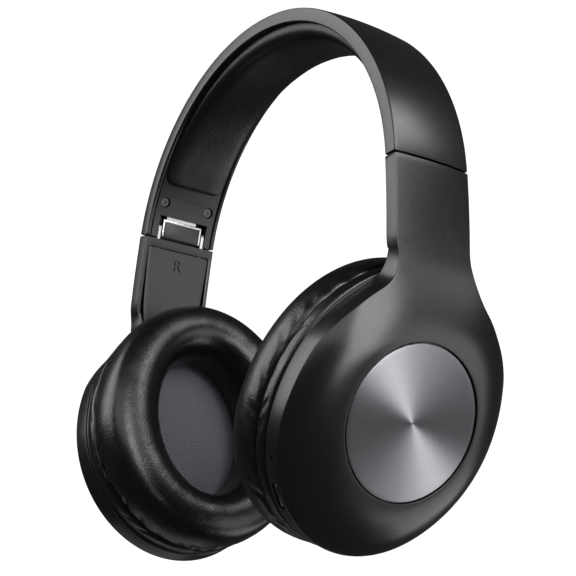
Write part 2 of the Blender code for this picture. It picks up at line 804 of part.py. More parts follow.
RIM_O = -DOME_RISE - RIM_DEPTH
BAFFLE_BACK = RIM_O - CLEARANCE
BAFFLE_FACE = BAFFLE_BACK - BAFFLE_DEPTH
BAFFLE_FLOOR = BAFFLE_FACE + BAFFLE_STEP
CUSHION_BACK = BAFFLE_FACE - CLEARANCE


def cup_ring(points, o, side):
    return [in_cup(y, v, o, side) for y, v in points]


def make_disc(name, parts, parent, material, side):
    profile = [(0, 0), (DISC_RADIUS - 0.3 * MM, 0), (DISC_RADIUS, -0.3 * MM)]
    profile += [(DISC_RADIUS, -DISC_THICKNESS), (0, -DISC_THICKNESS)]
    turned(name, profile, material, parts, parent, cup_frame(0, 0, side))


def make_baffle(name, parts, parent, material, side):
    """Tapered ring that closes the cup, with a recessed floor and the driver's round hole."""
    face_inset = BAFFLE_EDGE + BAFFLE_TAPER
    floor_inset = face_inset + BAFFLE_LAND
    bore = circle_ring(DRIVER_RADIUS + CLEARANCE)
    rings = [
        cup_ring(egg_ring(BAFFLE_EDGE), BAFFLE_BACK, side),
        cup_ring(egg_ring(face_inset), BAFFLE_FACE, side),
        cup_ring(egg_ring(floor_inset), BAFFLE_FACE, side),
        cup_ring(egg_ring(floor_inset), BAFFLE_FLOOR, side),
        cup_ring(bore, BAFFLE_FLOOR, side),
        cup_ring(bore, BAFFLE_BACK, side),
    ]
    add_object(name, loft_mesh(name, rings, closed=True), material, parts, parent)


def make_driver(name, parts, parent, material, side):
    """Speaker driver: a wide front plate, a basket and the magnet behind it."""
    front = BAFFLE_FLOOR
    back = BAFFLE_BACK
    profile = [
        (0, back + MAGNET_DEPTH),
        (MAGNET_RADIUS, back + MAGNET_DEPTH),
        (MAGNET_RADIUS, back + 1.5 * MM),
        (DRIVER_RADIUS - 3 * MM, back),
        (DRIVER_RADIUS, back),
        (DRIVER_RADIUS, front),
        (DRIVER_RADIUS - 2 * MM, front),
        (MAGNET_RADIUS, front + 0.8 * MM),
        (0, front + 0.2 * MM),
    ]
    turned(name, profile, material, parts, parent, cup_frame(0, 0, side))


def make_cushion_ring(name, parts, parent, material, side):
    """Clip ring that holds the cushion's skirt in the recess of the baffle."""
    outer = BAFFLE_EDGE + BAFFLE_TAPER + BAFFLE_LAND + CLEARANCE
    back = BAFFLE_FLOOR - CLEARANCE
    rings = [
        cup_ring(egg_ring(outer), back, side),
        cup_ring(egg_ring(outer), back - RING_THICKNESS, side),
        cup_ring(egg_ring(outer + RING_WIDTH), back - RING_THICKNESS, side),
        cup_ring(egg_ring(outer + RING_WIDTH), back, side),
    ]
    add_object(name, loft_mesh(name, rings, closed=True), material, parts, parent)


def make_speaker_cloth(name, parts, parent, material, side):
    """Cloth over the driver, a thin oval with a low crown."""
    back = BAFFLE_FLOOR - CLEARANCE
    rings = []
    for share, depth in ((1.0, 0.0), (1.0, 1.0), (0.75, 1.4), (0.4, 2.0)):
        oval = oval_ring(CLOTH_HALF_WIDTH * share, CLOTH_HALF_HEIGHT * share, HOLE_RAISED)
        rings.append(cup_ring(oval, back - CLOTH_THICKNESS * depth, side))
    add_object(name, loft_mesh(name, rings), material, parts, parent)


CUSHION_SECTION = (
    (0.10, 0.00), (0.02, 0.12), (0.00, 0.40), (0.02, 0.70), (0.14, 0.92), (0.36, 1.00),
    (0.62, 0.98), (0.84, 0.86), (0.97, 0.62), (1.00, 0.35), (0.95, 0.10), (0.86, 0.00),
)


def make_cushion(name, parts, parent, material, side):
    """Ear cushion: a fat ring between the egg of the cup and the oval ear hole."""
    outer = egg_ring(-CUSHION_OVERHANG)
    hole = oval_ring(HOLE_HALF_WIDTH, HOLE_HALF_HEIGHT, HOLE_RAISED)
    rings = []
    for share, depth in CUSHION_SECTION:
        ring = []
        for (oy, ov), (hy, hv) in zip(outer, hole):
            ring.append((oy + (hy - oy) * share, ov + (hv - ov) * share))
        rings.append(cup_ring(ring, CUSHION_BACK - CUSHION_DEPTH * depth, side))
    add_object(name, loft_mesh(name, rings, closed=True), material, parts, parent)


def floor_box(name, size, v, parts, parent, material, side):
    """A flat box on the inner side of the shell's floor."""
    top = -DISC_THICKNESS - CLEARANCE - CUP_WALL - CLEARANCE
    low = (-size[0] / 2, -size[1] / 2, top - size[2])
    high = (size[0] / 2, size[1] / 2, top)
    mesh = box_mesh(name, low, high, 0.3 * MM)
    placed(name, mesh, material, parts, parent, cup_frame(v, 0, side))


# Rim of the left cup ----------------------------------------------------------------------------

def rim_frame(angle, front):
    """Matrix on the rim at an angle below the widest level: X along the rim, Y outward, Z out of the rim."""
    facing = -1 if front else 1
    turn = -math.radians(angle)
    y, v = egg_point(turn)
    tangent_v = -CUP_BELOW_WIDEST * math.cos(turn)
    tangent_y = facing * CUP_HALF_WIDTH * math.sin(turn) + CUP_LEAN * tangent_v
    along = Vector((0, tangent_y, 0)) + tangent_v * cup_up()
    along.normalize()
    outward = cup_out()
    away = outward.cross(along)
    if away.y * facing < 0:
        along = -along
        away = -away
    middle = -DOME_RISE - RIM_DEPTH / 2
    return matrix_of(along, away.cross(along), away, in_cup(facing * y + CUP_LEAN * v, v, middle))


def make_button(name, angle, parts, cutters, parent, material, shell):
    """Sprung key: a crowned pill through the rim wall, kept in by a lip inside. Pressed along -Z."""
    frame = rim_frame(angle, front=False)
    axis = joint_empty(f"{name}_press", frame, parts, parent)
    under = -CUP_WALL - CLEARANCE - BUTTON_PROUD
    levels = (
        (BUTTON_LIP, under - BUTTON_STEM),
        (BUTTON_LIP, under),
        (0.0, under),
        (0.0, BUTTON_PROUD - 0.2 * MM),
        (-0.4 * MM, BUTTON_PROUD),
    )
    rings = [pill_ring(BUTTON_LENGTH + 2 * lip, BUTTON_WIDTH + 2 * lip, z) for lip, z in levels]
    placed(name, loft_mesh(name, rings), material, parts, axis, frame)
    grow = 2 * CLEARANCE
    hole = [pill_ring(BUTTON_LENGTH + grow, BUTTON_WIDTH + grow, z) for z in (-4 * MM, 4 * MM)]
    cut(shell, loft_mesh("key_hole", hole), frame, cutters)


def make_charging_port(parts, cutters, parent, material, shell):
    """Metal socket in a slot of the front rim, open outward."""
    frame = rim_frame(PORT_ANGLE, front=True)
    deep = -PORT_DEPTH
    rings = [
        pill_ring(PORT_LENGTH, PORT_WIDTH, deep),
        pill_ring(PORT_LENGTH, PORT_WIDTH, -0.2 * MM),
        pill_ring(PORT_LENGTH - 2 * PORT_WALL, PORT_WIDTH - 2 * PORT_WALL, -0.2 * MM),
        pill_ring(PORT_LENGTH - 2 * PORT_WALL, PORT_WIDTH - 2 * PORT_WALL, deep + 1 * MM),
    ]
    placed("charging_port", loft_mesh("charging_port", rings), material, parts, parent, frame)
    grow = 2 * CLEARANCE
    hole = [pill_ring(PORT_LENGTH + grow, PORT_WIDTH + grow, z) for z in (-7 * MM, 4 * MM)]
    cut(shell, loft_mesh("port_hole", hole), frame, cutters)


def make_microphone(parts, cutters, parent, material, shell):
    """Microphone capsule behind a small hole in the front rim."""
    frame = rim_frame(MIC_ANGLE, front=True)
    top = -CUP_WALL - 2 * CLEARANCE
    mesh = cylinder_mesh("microphone", MIC_RADIUS, top - MIC_THICKNESS, top, 16)
    placed("microphone", mesh, material, parts, parent, frame)
    hole = cylinder_mesh("mic_hole", MIC_HOLE_RADIUS, -4 * MM, 4 * MM, 10)
    cut(shell, hole, frame, cutters)


# Assembly ---------------------------------------------------------------------------------------

def make_materials():
    return {
        "black_plastic": make_material("satin_black_plastic", "232325", 0.0, 0.38),
        "cover_plastic": make_material("matte_black_plastic", "2a2a2c", 0.0, 0.5),
        "leather": make_material("black_leatherette", "161617", 0.0, 0.42),
        "disc": make_material("spun_gunmetal_aluminium", "8c8e92", 1.0, 0.3),
        "steel": make_material("bright_steel", "c8cacd", 1.0, 0.2),
        "cloth": make_material("grey_speaker_cloth", "4a4a50", 0.0, 0.9),
        "driver": make_material("driver_black", "1a1a1c", 0.3, 0.4),
        "board": make_material("green_circuit_board", "1f5a3a", 0.0, 0.5),
        "cell": make_material("silver_battery_foil", "a9abb0", 0.8, 0.4),
    }


def make_band(parts, cutters, root, mats):
    make_band_shell(parts, root, mats["black_plastic"])
    make_band_cover(parts, cutters, root, mats["cover_plastic"])
    make_band_screws(parts, root, mats["steel"])
    make_head_pad(parts, root, mats["leather"])
    make_band_spring(parts, root, mats["steel"])


def make_slider(word, side, parts, cutters, slide, mats):
    make_slider_strip(f"{word}_slider_strip", parts, slide, mats["steel"], side)
    make_hinge_block(f"{word}_hinge_block", parts, cutters, slide, mats["steel"], side)
    make_hinge_cap(f"{word}_hinge_cap", parts, slide, mats["cover_plastic"], side)


def make_arm(word, side, parts, cutters, fold, mats):
    """The pieces that fold together, and the shell, which other pieces are let into."""
    make_hinge_pin(f"{word}_hinge_pin", parts, fold, mats["steel"], side)
    make_hinge_fork(f"{word}_hinge_fork", parts, cutters, fold, mats["steel"], side)
    shell = make_arm_cup_shell(f"{word}_arm_cup_shell", parts, fold, mats["black_plastic"], side)
    cut_ear_slots(shell, cutters, side)
    make_arm_cover(f"{word}_arm_inner_cover", parts, fold, mats["cover_plastic"], side)
    make_disc(f"{word}_disc_trim", parts, fold, mats["disc"], side)
    make_baffle(f"{word}_speaker_baffle", parts, fold, mats["cover_plastic"], side)
    make_driver(f"{word}_speaker_driver", parts, fold, mats["driver"], side)
    make_cushion_ring(f"{word}_cushion_clip_ring", parts, fold, mats["cover_plastic"], side)
    make_speaker_cloth(f"{word}_speaker_cloth", parts, fold, mats["cloth"], side)
    make_cushion(f"{word}_ear_cushion", parts, fold, mats["leather"], side)
    return shell


def main():
    clear_scene()
    parts = make_collection("over_ear_headphones")
    cutters = make_collection("cutters")
    mats = make_materials()
    root = joint_empty("band_root", Matrix.Identity(4), parts)
    make_band(parts, cutters, root, mats)
    shells = {}
    folds = {}
    for word, side in (("left", 1), ("right", -1)):
        slide = joint_empty(f"{word}_slide_axis", Matrix.Translation(slide_centre(side)), parts, root)
        make_slider(word, side, parts, cutters, slide, mats)
        folds[word] = joint_empty(f"{word}_fold_axis", pin_frame(side), parts, slide)
        shells[word] = make_arm(word, side, parts, cutters, folds[word], mats)
    left, shell = folds["left"], shells["left"]
    for name, angle in BUTTON_ANGLES.items():
        make_button(name, angle, parts, cutters, left, mats["cover_plastic"], shell)
    make_charging_port(parts, cutters, left, mats["steel"], shell)
    make_microphone(parts, cutters, left, mats["steel"], shell)
    floor_box("circuit_board", BOARD_SIZE, 0, parts, left, mats["board"], 1)
    floor_box("battery_cell", CELL_SIZE, 0, parts, folds["right"], mats["cell"], -1)


main()
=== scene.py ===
import math
import random

import bmesh
import bpy
from mathutils import Matrix, Vector, noise


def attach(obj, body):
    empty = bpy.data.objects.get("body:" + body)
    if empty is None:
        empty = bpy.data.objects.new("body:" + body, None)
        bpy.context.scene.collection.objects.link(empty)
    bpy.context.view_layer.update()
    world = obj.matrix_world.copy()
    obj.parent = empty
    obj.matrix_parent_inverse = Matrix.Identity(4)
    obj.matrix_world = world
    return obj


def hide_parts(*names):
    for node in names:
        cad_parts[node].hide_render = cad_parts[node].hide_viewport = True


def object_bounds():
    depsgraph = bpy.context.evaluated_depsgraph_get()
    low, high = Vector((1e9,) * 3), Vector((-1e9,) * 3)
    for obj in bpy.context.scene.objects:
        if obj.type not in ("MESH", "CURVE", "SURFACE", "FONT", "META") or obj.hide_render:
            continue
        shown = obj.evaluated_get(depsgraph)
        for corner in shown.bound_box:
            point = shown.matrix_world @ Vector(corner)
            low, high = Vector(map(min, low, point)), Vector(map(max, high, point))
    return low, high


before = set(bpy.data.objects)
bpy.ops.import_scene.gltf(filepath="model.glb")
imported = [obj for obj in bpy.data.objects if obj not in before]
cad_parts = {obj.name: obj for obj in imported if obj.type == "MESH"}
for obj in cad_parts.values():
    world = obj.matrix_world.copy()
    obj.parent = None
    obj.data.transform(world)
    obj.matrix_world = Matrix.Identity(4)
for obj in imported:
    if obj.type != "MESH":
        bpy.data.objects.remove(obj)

cad_low, cad_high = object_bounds()


# Headband outer shell -----------------------------------------------------------------------------
# The long bow that goes over the head. It is moulded in black ABS with a fine satin skin, and its
# crowned top turns over a small round edge into a flat side wall, 5 mm deep.

CROWN_ARC, CROWN_RADIUS = math.radians(41), 73.0
SIDE_ARC, SIDE_RADIUS = math.radians(41.5), 78.0
ARM_LENGTH, ARM_RADIUS = 51.0, 383.0
BEND_RADIUS, STRAIGHT_LENGTH, CUP_TILT = 45.0, 17.3, math.radians(18.3)
SEAM_S = CROWN_RADIUS * CROWN_ARC + SIDE_RADIUS * SIDE_ARC
BEND_LENGTH = BEND_RADIUS * (math.pi / 2 + CUP_TILT - CROWN_ARC - SIDE_ARC - ARM_LENGTH / ARM_RADIUS)
DISC_S = SEAM_S + ARM_LENGTH + BEND_LENGTH + STRAIGHT_LENGTH
CROWN_Z = cad_high.z * 1000


def line(s):
    """Place (x, z below the crown) and turn of the outer line at s millimetres from the crown."""
    x, z, turn = 0.0, 0.0, 0.0
    arcs = (
        (CROWN_RADIUS * CROWN_ARC, CROWN_RADIUS),
        (SIDE_RADIUS * SIDE_ARC, SIDE_RADIUS),
        (ARM_LENGTH, ARM_RADIUS),
        (BEND_LENGTH, BEND_RADIUS),
    )
    for length, radius in arcs:
        step = min(max(s, 0.0), length)
        after = turn + step / radius
        x += radius * (math.sin(after) - math.sin(turn))
        z -= radius * (math.cos(turn) - math.cos(after))
        turn = after
        s -= step
    return x + s * math.cos(turn), z - s * math.sin(turn), turn


def at(s, y, o, side=1):
    """Point in metres: s along the outer line, y across, o outward from it, all in millimetres."""
    if s < 0:
        s, side = -s, -side
    x, z, turn = line(s)
    return Vector((side * (x + o * math.sin(turn)), y, CROWN_Z + z + o * math.cos(turn))) * 0.001


def at_frame(s, y, o, side=1):
    """Matrix in metres whose Y runs up the line and Z points outward."""
    turn = line(s)[2]
    up = Vector((-side * math.cos(turn), 0, math.sin(turn)))
    out = Vector((side * math.sin(turn), 0, math.cos(turn)))
    turned = Matrix((up.cross(out), up, out)).transposed().to_4x4()
    return Matrix.Translation(at(s, y, o, side)) @ turned


def skin(name, rings, closed=False):
    """A mesh through rings of equal length, capped at both ends or closed on itself."""
    bm = bmesh.new()
    rows = [[bm.verts.new(p) for p in ring] for ring in rings]
    after = rows[1:] + rows[:1] if closed else rows[1:]
    for low, high in zip(rows, after):
        for i in range(len(low)):
            j = (i + 1) % len(low)
            bm.faces.new((low[i], low[j], high[j], high[i]))
    if not closed:
        bm.faces.new(rows[0])
        bm.faces.new(rows[-1])
    bmesh.ops.recalc_face_normals(bm, faces=bm.faces)
    mesh = bpy.data.meshes.new(name)
    bm.to_mesh(mesh)
    bm.free()
    made = bpy.data.objects.new(name, mesh)
    bpy.context.scene.collection.objects.link(made)
    return made


def round_corners(points, radius, steps=4):
    """A closed flat outline with every corner rounded to about that radius."""
    made = []
    for i, p in enumerate(points):
        p = Vector(p)
        before, after = Vector(points[i - 1]) - p, Vector(points[(i + 1) % len(points)]) - p
        reach = min(radius, before.length * 0.45, after.length * 0.45)
        start, end = p + before.normalized() * reach, p + after.normalized() * reach
        for k in range(steps + 1):
            t = k / steps
            made.append(start * (1 - t) ** 2 + p * 2 * t * (1 - t) + end * t * t)
    return [tuple(p) for p in made]


def give(piece, material, body, *nodes, angle=35):
    """Smooth shading, the finish, the body it rides on and the frame's nodes it stands for."""
    piece.data.materials.clear()
    piece.data.materials.append(material)
    piece.data.shade_smooth()
    piece.data.set_sharp_from_angle(angle=math.radians(angle))
    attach(piece, body)
    if nodes:
        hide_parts(*nodes)
    return piece


def linear(code):
    """Linear colour of an sRGB hex value."""
    values = [int(code[i:i + 2], 16) / 255 for i in (0, 2, 4)]
    return [v / 12.92 if v <= 0.04045 else ((v + 0.055) / 1.055) ** 2.4 for v in values] + [1.0]


def add(tree, kind, settings, links=None):
    """A new node with its settings, by property or socket, and with its sockets linked."""
    made = tree.nodes.new("ShaderNode" + kind)
    for name, value in settings.items():
        if isinstance(name, int) or name in made.inputs:
            made.inputs[name].default_value = value
        else:
            setattr(made, name, value)
    for name, output in (links or {}).items():
        tree.links.new(output, made.inputs[name])
    return made


def new_finish(name, **sockets):
    """A material with its node tree and its shader, whose plain sockets are set."""
    material = bpy.data.materials.new(name)
    material.use_nodes = True
    tree = material.node_tree
    shader = tree.nodes["Principled BSDF"]
    for socket, value in sockets.items():
        shader.inputs[socket.replace("_", " ")].default_value = value
    return material, tree, shader


def moulded_plastic(name, dark, light, rough, grain_mm=0.28, depth_mm=0.0):
    """Moulded ABS: the tool's spark-etched grain gives a soft sheen, a little uneven over the part."""
    material, tree, shader = new_finish(name, IOR=1.53)
    place = add(tree, "TexCoord", {})
    cloud = add(tree, "TexNoise", {"Scale": 45.0, "Detail": 3.0}, {"Vector": place.outputs["Object"]})
    colour = add(
        tree, "MixRGB", {"Color1": linear(dark), "Color2": linear(light)}, {"Fac": cloud.outputs[0]}
    )
    mottle = add(tree, "TexNoise", {"Scale": 400.0, "Detail": 4.0}, {"Vector": place.outputs["Object"]})
    sheen = add(
        tree, "MapRange", {"To Min": rough - 0.04, "To Max": rough + 0.04}, {0: mottle.outputs[0]}
    )
    if depth_mm:
        grain = add(
            tree, "TexNoise", {"Scale": 1000 / grain_mm, "Detail": 2.0}, {"Vector": place.outputs["Object"]}
        )
        bump = add(
            tree, "Bump", {"Strength": 0.5, "Distance": depth_mm / 1000}, {"Height": grain.outputs[0]}
        )
        tree.links.new(bump.outputs[0], shader.inputs["Normal"])
    tree.links.new(colour.outputs[0], shader.inputs["Base Color"])
    tree.links.new(sheen.outputs[0], shader.inputs["Roughness"])
    return material


satin_abs = moulded_plastic("satin_black_abs", "070708", "0c0c0d", 0.29)

BAND_HALF, BAND_DEEP, BAND_CROWN = 15.0, 5.6, 0.8
SEAM_HALF = 0.3


def band_section():
    """Crowned top, two flat walls and the hollow under the top."""
    top = [(-BAND_HALF + BAND_HALF * i / 8, -BAND_CROWN * (1 - i / 8) ** 2) for i in range(8)]
    top += [(BAND_HALF * i / 8, -BAND_CROWN * (i / 8) ** 2) for i in range(9)]
    wall, under = BAND_HALF - 1.6, -1.3
    walls = [(BAND_HALF, -BAND_DEEP), (wall, -BAND_DEEP), (wall, under)]
    walls += [(-wall, under), (-wall, -BAND_DEEP), (-BAND_HALF, -BAND_DEEP)]
    return round_corners(top + walls, 0.45)


def along_band(section, end, count):
    """Rings of a section from one seam to the other, drawn in by 0.12 mm at the very ends."""
    middle_y = sum(y for y, o in section) / len(section)
    middle_o = sum(o for y, o in section) / len(section)
    rings = []
    stations = [(-end, 0.99), (-end + 0.2, 1.0)]
    stations += [(-end + 2 * end * i / count, 1.0) for i in range(1, count)]
    stations += [(end - 0.2, 1.0), (end, 0.99)]
    for s, grow in stations:
        ring = []
        for y, o in section:
            ring.append(at(s, middle_y + (y - middle_y) * grow, middle_o + (o - middle_o) * grow))
        rings.append(ring)
    return rings


band_shell = skin("headband_shell", along_band(band_section(), SEAM_S - SEAM_HALF, 150))
give(band_shell, satin_abs, "band", "band_outer_shell")


# Inner cover of the headband ----------------------------------------------------------------------
# A thin plate that closes the hollow of the bow, moulded in the same ABS with a coarser grain. It has
# a window at each seam for the hinge and a counterbored seat for each screw.

grained_abs = moulded_plastic("grained_black_abs", "0e0e0f", "151516", 0.36, depth_mm=0.003)

COVER_FACE, COVER_BACK, COVER_HALF = -5.3, -4.3, 13.1
HINGE_HALF, HINGE_WINDOW_HIGH = 10.5, 8.6
SCREW_UP, SCREW_Y, SEAT_RADIUS = 14.5, 9.6, 2.0


def box_at(low, high, bevel=0.0, name="tool", turned=None):
    """A box added as a cube between two corners in millimetres, its edges rounded, then put in place."""
    bpy.ops.object.select_all(action="DESELECT")
    centre = [(a + b) / 2000 for a, b in zip(low, high)]
    size = [(b - a) / 1000 for a, b in zip(low, high)]
    bpy.ops.mesh.primitive_cube_add(size=1, location=centre, scale=size)
    made = bpy.context.object
    made.name = name
    bpy.ops.object.transform_apply(location=True, rotation=True, scale=True)
    if bevel:
        bpy.ops.object.mode_set(mode="EDIT")
        bpy.ops.mesh.select_all(action="SELECT")
        bpy.ops.mesh.bevel(offset=bevel / 1000, segments=3)
        bpy.ops.object.mode_set(mode="OBJECT")
    made.data.transform(turned or Matrix.Identity(4))
    return made


def rod_at(radius, low, high, turned, name="tool", sides=32, bevel=0.0):
    """A rod along its own Z from low to high in millimetres, its rims rounded, then put in place."""
    bpy.ops.object.select_all(action="DESELECT")
    bpy.ops.mesh.primitive_cylinder_add(
        vertices=sides, radius=radius / 1000, depth=(high - low) / 1000, location=(0, 0, (high + low) / 2000)
    )
    made = bpy.context.object
    made.name = name
    bpy.ops.object.transform_apply(location=True, rotation=True, scale=True)
    if bevel:
        bpy.ops.object.mode_set(mode="EDIT")
        bpy.ops.mesh.select_all(action="DESELECT")
        bpy.ops.object.mode_set(mode="OBJECT")
        for face in made.data.polygons:
            face.select = abs(face.normal.z) > 0.9
        bpy.ops.object.mode_set(mode="EDIT")
        bpy.ops.mesh.region_to_loop()
        bpy.ops.mesh.bevel(offset=bevel / 1000, segments=3)
        bpy.ops.object.mode_set(mode="OBJECT")
    made.data.transform(turned)
    return made


def carve(piece, tools, operation="DIFFERENCE"):
    """Cuts the tools out of the piece, or joins them to it, and removes them."""
    for tool in tools:
        bpy.context.view_layer.objects.active = piece
        cut = piece.modifiers.new("cut", "BOOLEAN")
        cut.operation = operation
        cut.solver = "EXACT"
        cut.object = tool
        bpy.ops.object.modifier_apply(modifier="cut")
        bpy.data.objects.remove(tool)
    return piece


def plate_section(half, face, back, corner):
    """A flat bar's section with its four corners rounded."""
    return round_corners([(-half, face), (half, face), (half, back), (-half, back)], corner, 3)


cover = skin(
    "headband_inner_cover",
    along_band(plate_section(COVER_HALF, COVER_FACE, COVER_BACK, 0.25), SEAM_S - SEAM_HALF, 110),
)
for side in (1, -1):
    seam = at_frame(SEAM_S, 0, COVER_FACE, side)
    carve(cover, [
        box_at((-HINGE_HALF, -2, -3), (HINGE_HALF, HINGE_WINDOW_HIGH, 3), 0, turned=seam),
        rod_at(SEAT_RADIUS, -3, 3, at_frame(SEAM_S - SCREW_UP, -SCREW_Y, COVER_FACE, side)),
        rod_at(SEAT_RADIUS, -3, 3, at_frame(SEAM_S - SCREW_UP, SCREW_Y, COVER_FACE, side)),
    ])
give(cover, grained_abs, "band", "band_inner_cover")


# Cover screws -------------------------------------------------------------------------------------
# Four small cross-head screws hold the inner cover. They are zinc-plated steel, blackened, and their
# heads sit below the face of the cover.

def rolled_metal(name, dark, light, rough, streak_mm):
    """Plated or rolled metal, bright, with the faint uneven polish of small hardware."""
    material, tree, shader = new_finish(name, Metallic=1.0)
    place = add(tree, "TexCoord", {})
    cloud = add(
        tree, "TexNoise", {"Scale": 1000 / streak_mm, "Detail": 5.0}, {"Vector": place.outputs["Object"]}
    )
    colour = add(
        tree, "MixRGB", {"Color1": linear(dark), "Color2": linear(light)}, {"Fac": cloud.outputs[0]}
    )
    sheen = add(
        tree, "MapRange", {"To Min": rough - 0.06, "To Max": rough + 0.08}, {0: cloud.outputs[0]}
    )
    bump = add(tree, "Bump", {"Strength": 0.2, "Distance": 0.00002}, {"Height": cloud.outputs[0]})
    tree.links.new(colour.outputs[0], shader.inputs["Base Color"])
    tree.links.new(sheen.outputs[0], shader.inputs["Roughness"])
    tree.links.new(bump.outputs[0], shader.inputs["Normal"])
    return material


black_zinc = rolled_metal("black_zinc_plated_steel", "4a4a4c", "6a6a6d", 0.3, 0.8)

SCREW_SINK, HEAD_RADIUS, SHANK_RADIUS = 0.65, 1.6, 0.8
SLOT_HALF_LONG, SLOT_HALF_WIDE = 0.9, 0.17

for word, side in (("left", 1), ("right", -1)):
    for end, y in (("front", -SCREW_Y), ("rear", SCREW_Y)):
        seat = at_frame(SEAM_S - SCREW_UP, y, COVER_FACE + SCREW_SINK, side)
        screw = rod_at(HEAD_RADIUS, 0.0, 1.0, seat, f"{word}_{end}_cross_screw", 40, 0.2)
        shank = rod_at(SHANK_RADIUS, 0.9, 3.2, seat, sides=20)
        slots = [
            box_at((-a, -b, -1), (a, b, 0.5), turned=seat)
            for a, b in ((SLOT_HALF_LONG, SLOT_HALF_WIDE), (SLOT_HALF_WIDE, SLOT_HALF_LONG))
        ]
        carve(screw, [shank], "UNION")
        carve(screw, slots)
        give(screw, black_zinc, "band", f"{word}_{end}_screw")


# Head pad -----------------------------------------------------------------------------------------
# The long cushion under the crown: a strip of foam wrapped in black protein leather and glued to
# the inner cover, thick at the crown and thin at its round-cornered ends.

def protein_leather(name, dark, light, rough):
    """Coated leatherette: pebbled every 0.7 mm or so, soft gloss, with fine creases between."""
    material, tree, shader = new_finish(name, IOR=1.5)
    place = add(tree, "TexCoord", {})
    pebble = add(
        tree, "TexVoronoi", {"Scale": 1500.0, "Randomness": 1.0}, {"Vector": place.outputs["Object"]}
    )
    crease = add(
        tree, "TexNoise", {"Scale": 260.0, "Detail": 8.0, "Roughness": 0.62},
        {"Vector": place.outputs["Object"]},
    )
    cloud = add(tree, "TexNoise", {"Scale": 55.0, "Detail": 3.0}, {"Vector": place.outputs["Object"]})
    colour = add(
        tree, "MixRGB", {"Color1": linear(dark), "Color2": linear(light)}, {"Fac": cloud.outputs[0]}
    )
    sheen = add(
        tree, "MapRange", {"To Min": rough - 0.07, "To Max": rough + 0.07}, {0: crease.outputs[0]}
    )
    soft = add(tree, "Bump", {"Strength": 0.25, "Distance": 0.0003}, {"Height": crease.outputs[0]})
    bump = add(
        tree, "Bump", {"Strength": 0.4, "Distance": 0.0001, "invert": True},
        {"Height": pebble.outputs["Distance"], "Normal": soft.outputs[0]},
    )
    tree.links.new(colour.outputs[0], shader.inputs["Base Color"])
    tree.links.new(sheen.outputs[0], shader.inputs["Roughness"])
    tree.links.new(bump.outputs[0], shader.inputs["Normal"])
    return material


band_leather = protein_leather("black_protein_leather_band", "070708", "0c0c0d", 0.38)

PAD_HALF, PAD_END, PAD_BACK = 12.8, SEAM_S - 22.0, -5.6
PAD_CORNER, PAD_THIN, PAD_RISE = 3.6, 1.4, 5.0


def pad_ring(s):
    """Section of the pad: flat back, round shoulders and a crowned face."""
    from_end = min(max((PAD_END - abs(s)) / 6.0, 0.0), 1.0)
    half = PAD_HALF - PAD_CORNER * (1 - math.sqrt(1 - (1 - from_end) ** 2))
    share = max(math.cos(math.pi / 2 * abs(s) / PAD_END), 0.0)
    deep = PAD_THIN + PAD_RISE * share ** 1.3
    deep *= 1 - 0.55 * (1 - min(max((PAD_END - abs(s)) / 2.2, 0.0), 1.0)) ** 2
    ring = [at(s, -half + 0.6, PAD_BACK), at(s, half - 0.6, PAD_BACK)]
    for i in range(33):
        a = math.pi * i / 32
        y = half * math.copysign(abs(math.cos(a)) ** 0.55, math.cos(a))
        o = deep * math.sin(a) ** 0.62
        wave = noise.noise(Vector((s * 0.09, y * 0.13, 3.0))) * 0.16 * math.sin(a)
        ring.append(at(s, y, PAD_BACK - max(o + wave, 0.0)))
    return ring


stations = [-PAD_END + 2 * PAD_END * i / 150 for i in range(151)]
stations = stations[:1] + [-PAD_END + d for d in (0.25, 0.6, 1.0)] + stations[1:-1]
stations += [PAD_END - d for d in (1.0, 0.6, 0.25)] + [PAD_END]
pad = skin("head_cushion_pad", [pad_ring(s) for s in sorted(stations)])
give(pad, band_leather, "band", "head_pad", angle=60)


# Size sliders and fold hinges ---------------------------------------------------------------------
# Each side has a spring-steel strip that slides in the bow, a nickel-plated block with a dark cap at
# its foot, and a pin through the block and the two ears of the arm's steel fork.

nickel = rolled_metal("nickel_plated_steel", "b4b6b9", "d4d6d9", 0.2, 1.5)
spring_steel = rolled_metal("spring_steel", "7c7e82", "95979b", 0.32, 3.0)

BLOCK_HALF, BLOCK_FOOT, BLOCK_TOP, FRAME_WIDE = 8.6, 0.6, 7.4, 0.8
BLOCK_FACE, BLOCK_BACK, CAP_FACE, CAP_PLAY = -5.35, -2.3, -5.65, 0.15
PIN_UP, PIN_DEEP, PIN_BORE = 4.0, 3.7, 0.95

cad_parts["band_spring_strip"].material_slots[0].material = spring_steel
for word, side in (("left", 1), ("right", -1)):
    for node in ("slider_strip", "hinge_pin", "hinge_fork"):
        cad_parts[f"{word}_{node}"].material_slots[0].material = nickel
    seam = at_frame(SEAM_S, 0, 0, side)
    block = box_at(
        (-BLOCK_HALF, BLOCK_FOOT, BLOCK_FACE), (BLOCK_HALF, BLOCK_TOP, BLOCK_BACK), 0.3,
        f"{word}_slider_block", seam,
    )
    inner, under = BLOCK_HALF - FRAME_WIDE, BLOCK_TOP - FRAME_WIDE
    pin_place = Matrix.Translation(Vector((0, PIN_UP, -PIN_DEEP)) * 0.001)
    bore = seam @ pin_place @ Matrix.Rotation(math.pi / 2, 4, "Y")
    carve(block, [
        box_at((-inner, -2, -8), (inner, under, -4.9), 0, turned=seam),
        rod_at(PIN_BORE, -12, 12, bore),
    ])
    give(block, nickel, f"{word}_slider", f"{word}_hinge_block")
    cap = box_at(
        (-inner + CAP_PLAY, BLOCK_FOOT, CAP_FACE), (inner - CAP_PLAY, under - CAP_PLAY, -5.0), 0.2,
        f"{word}_slider_cap", seam,
    )
    give(cap, grained_abs, f"{word}_slider", f"{word}_hinge_cap")


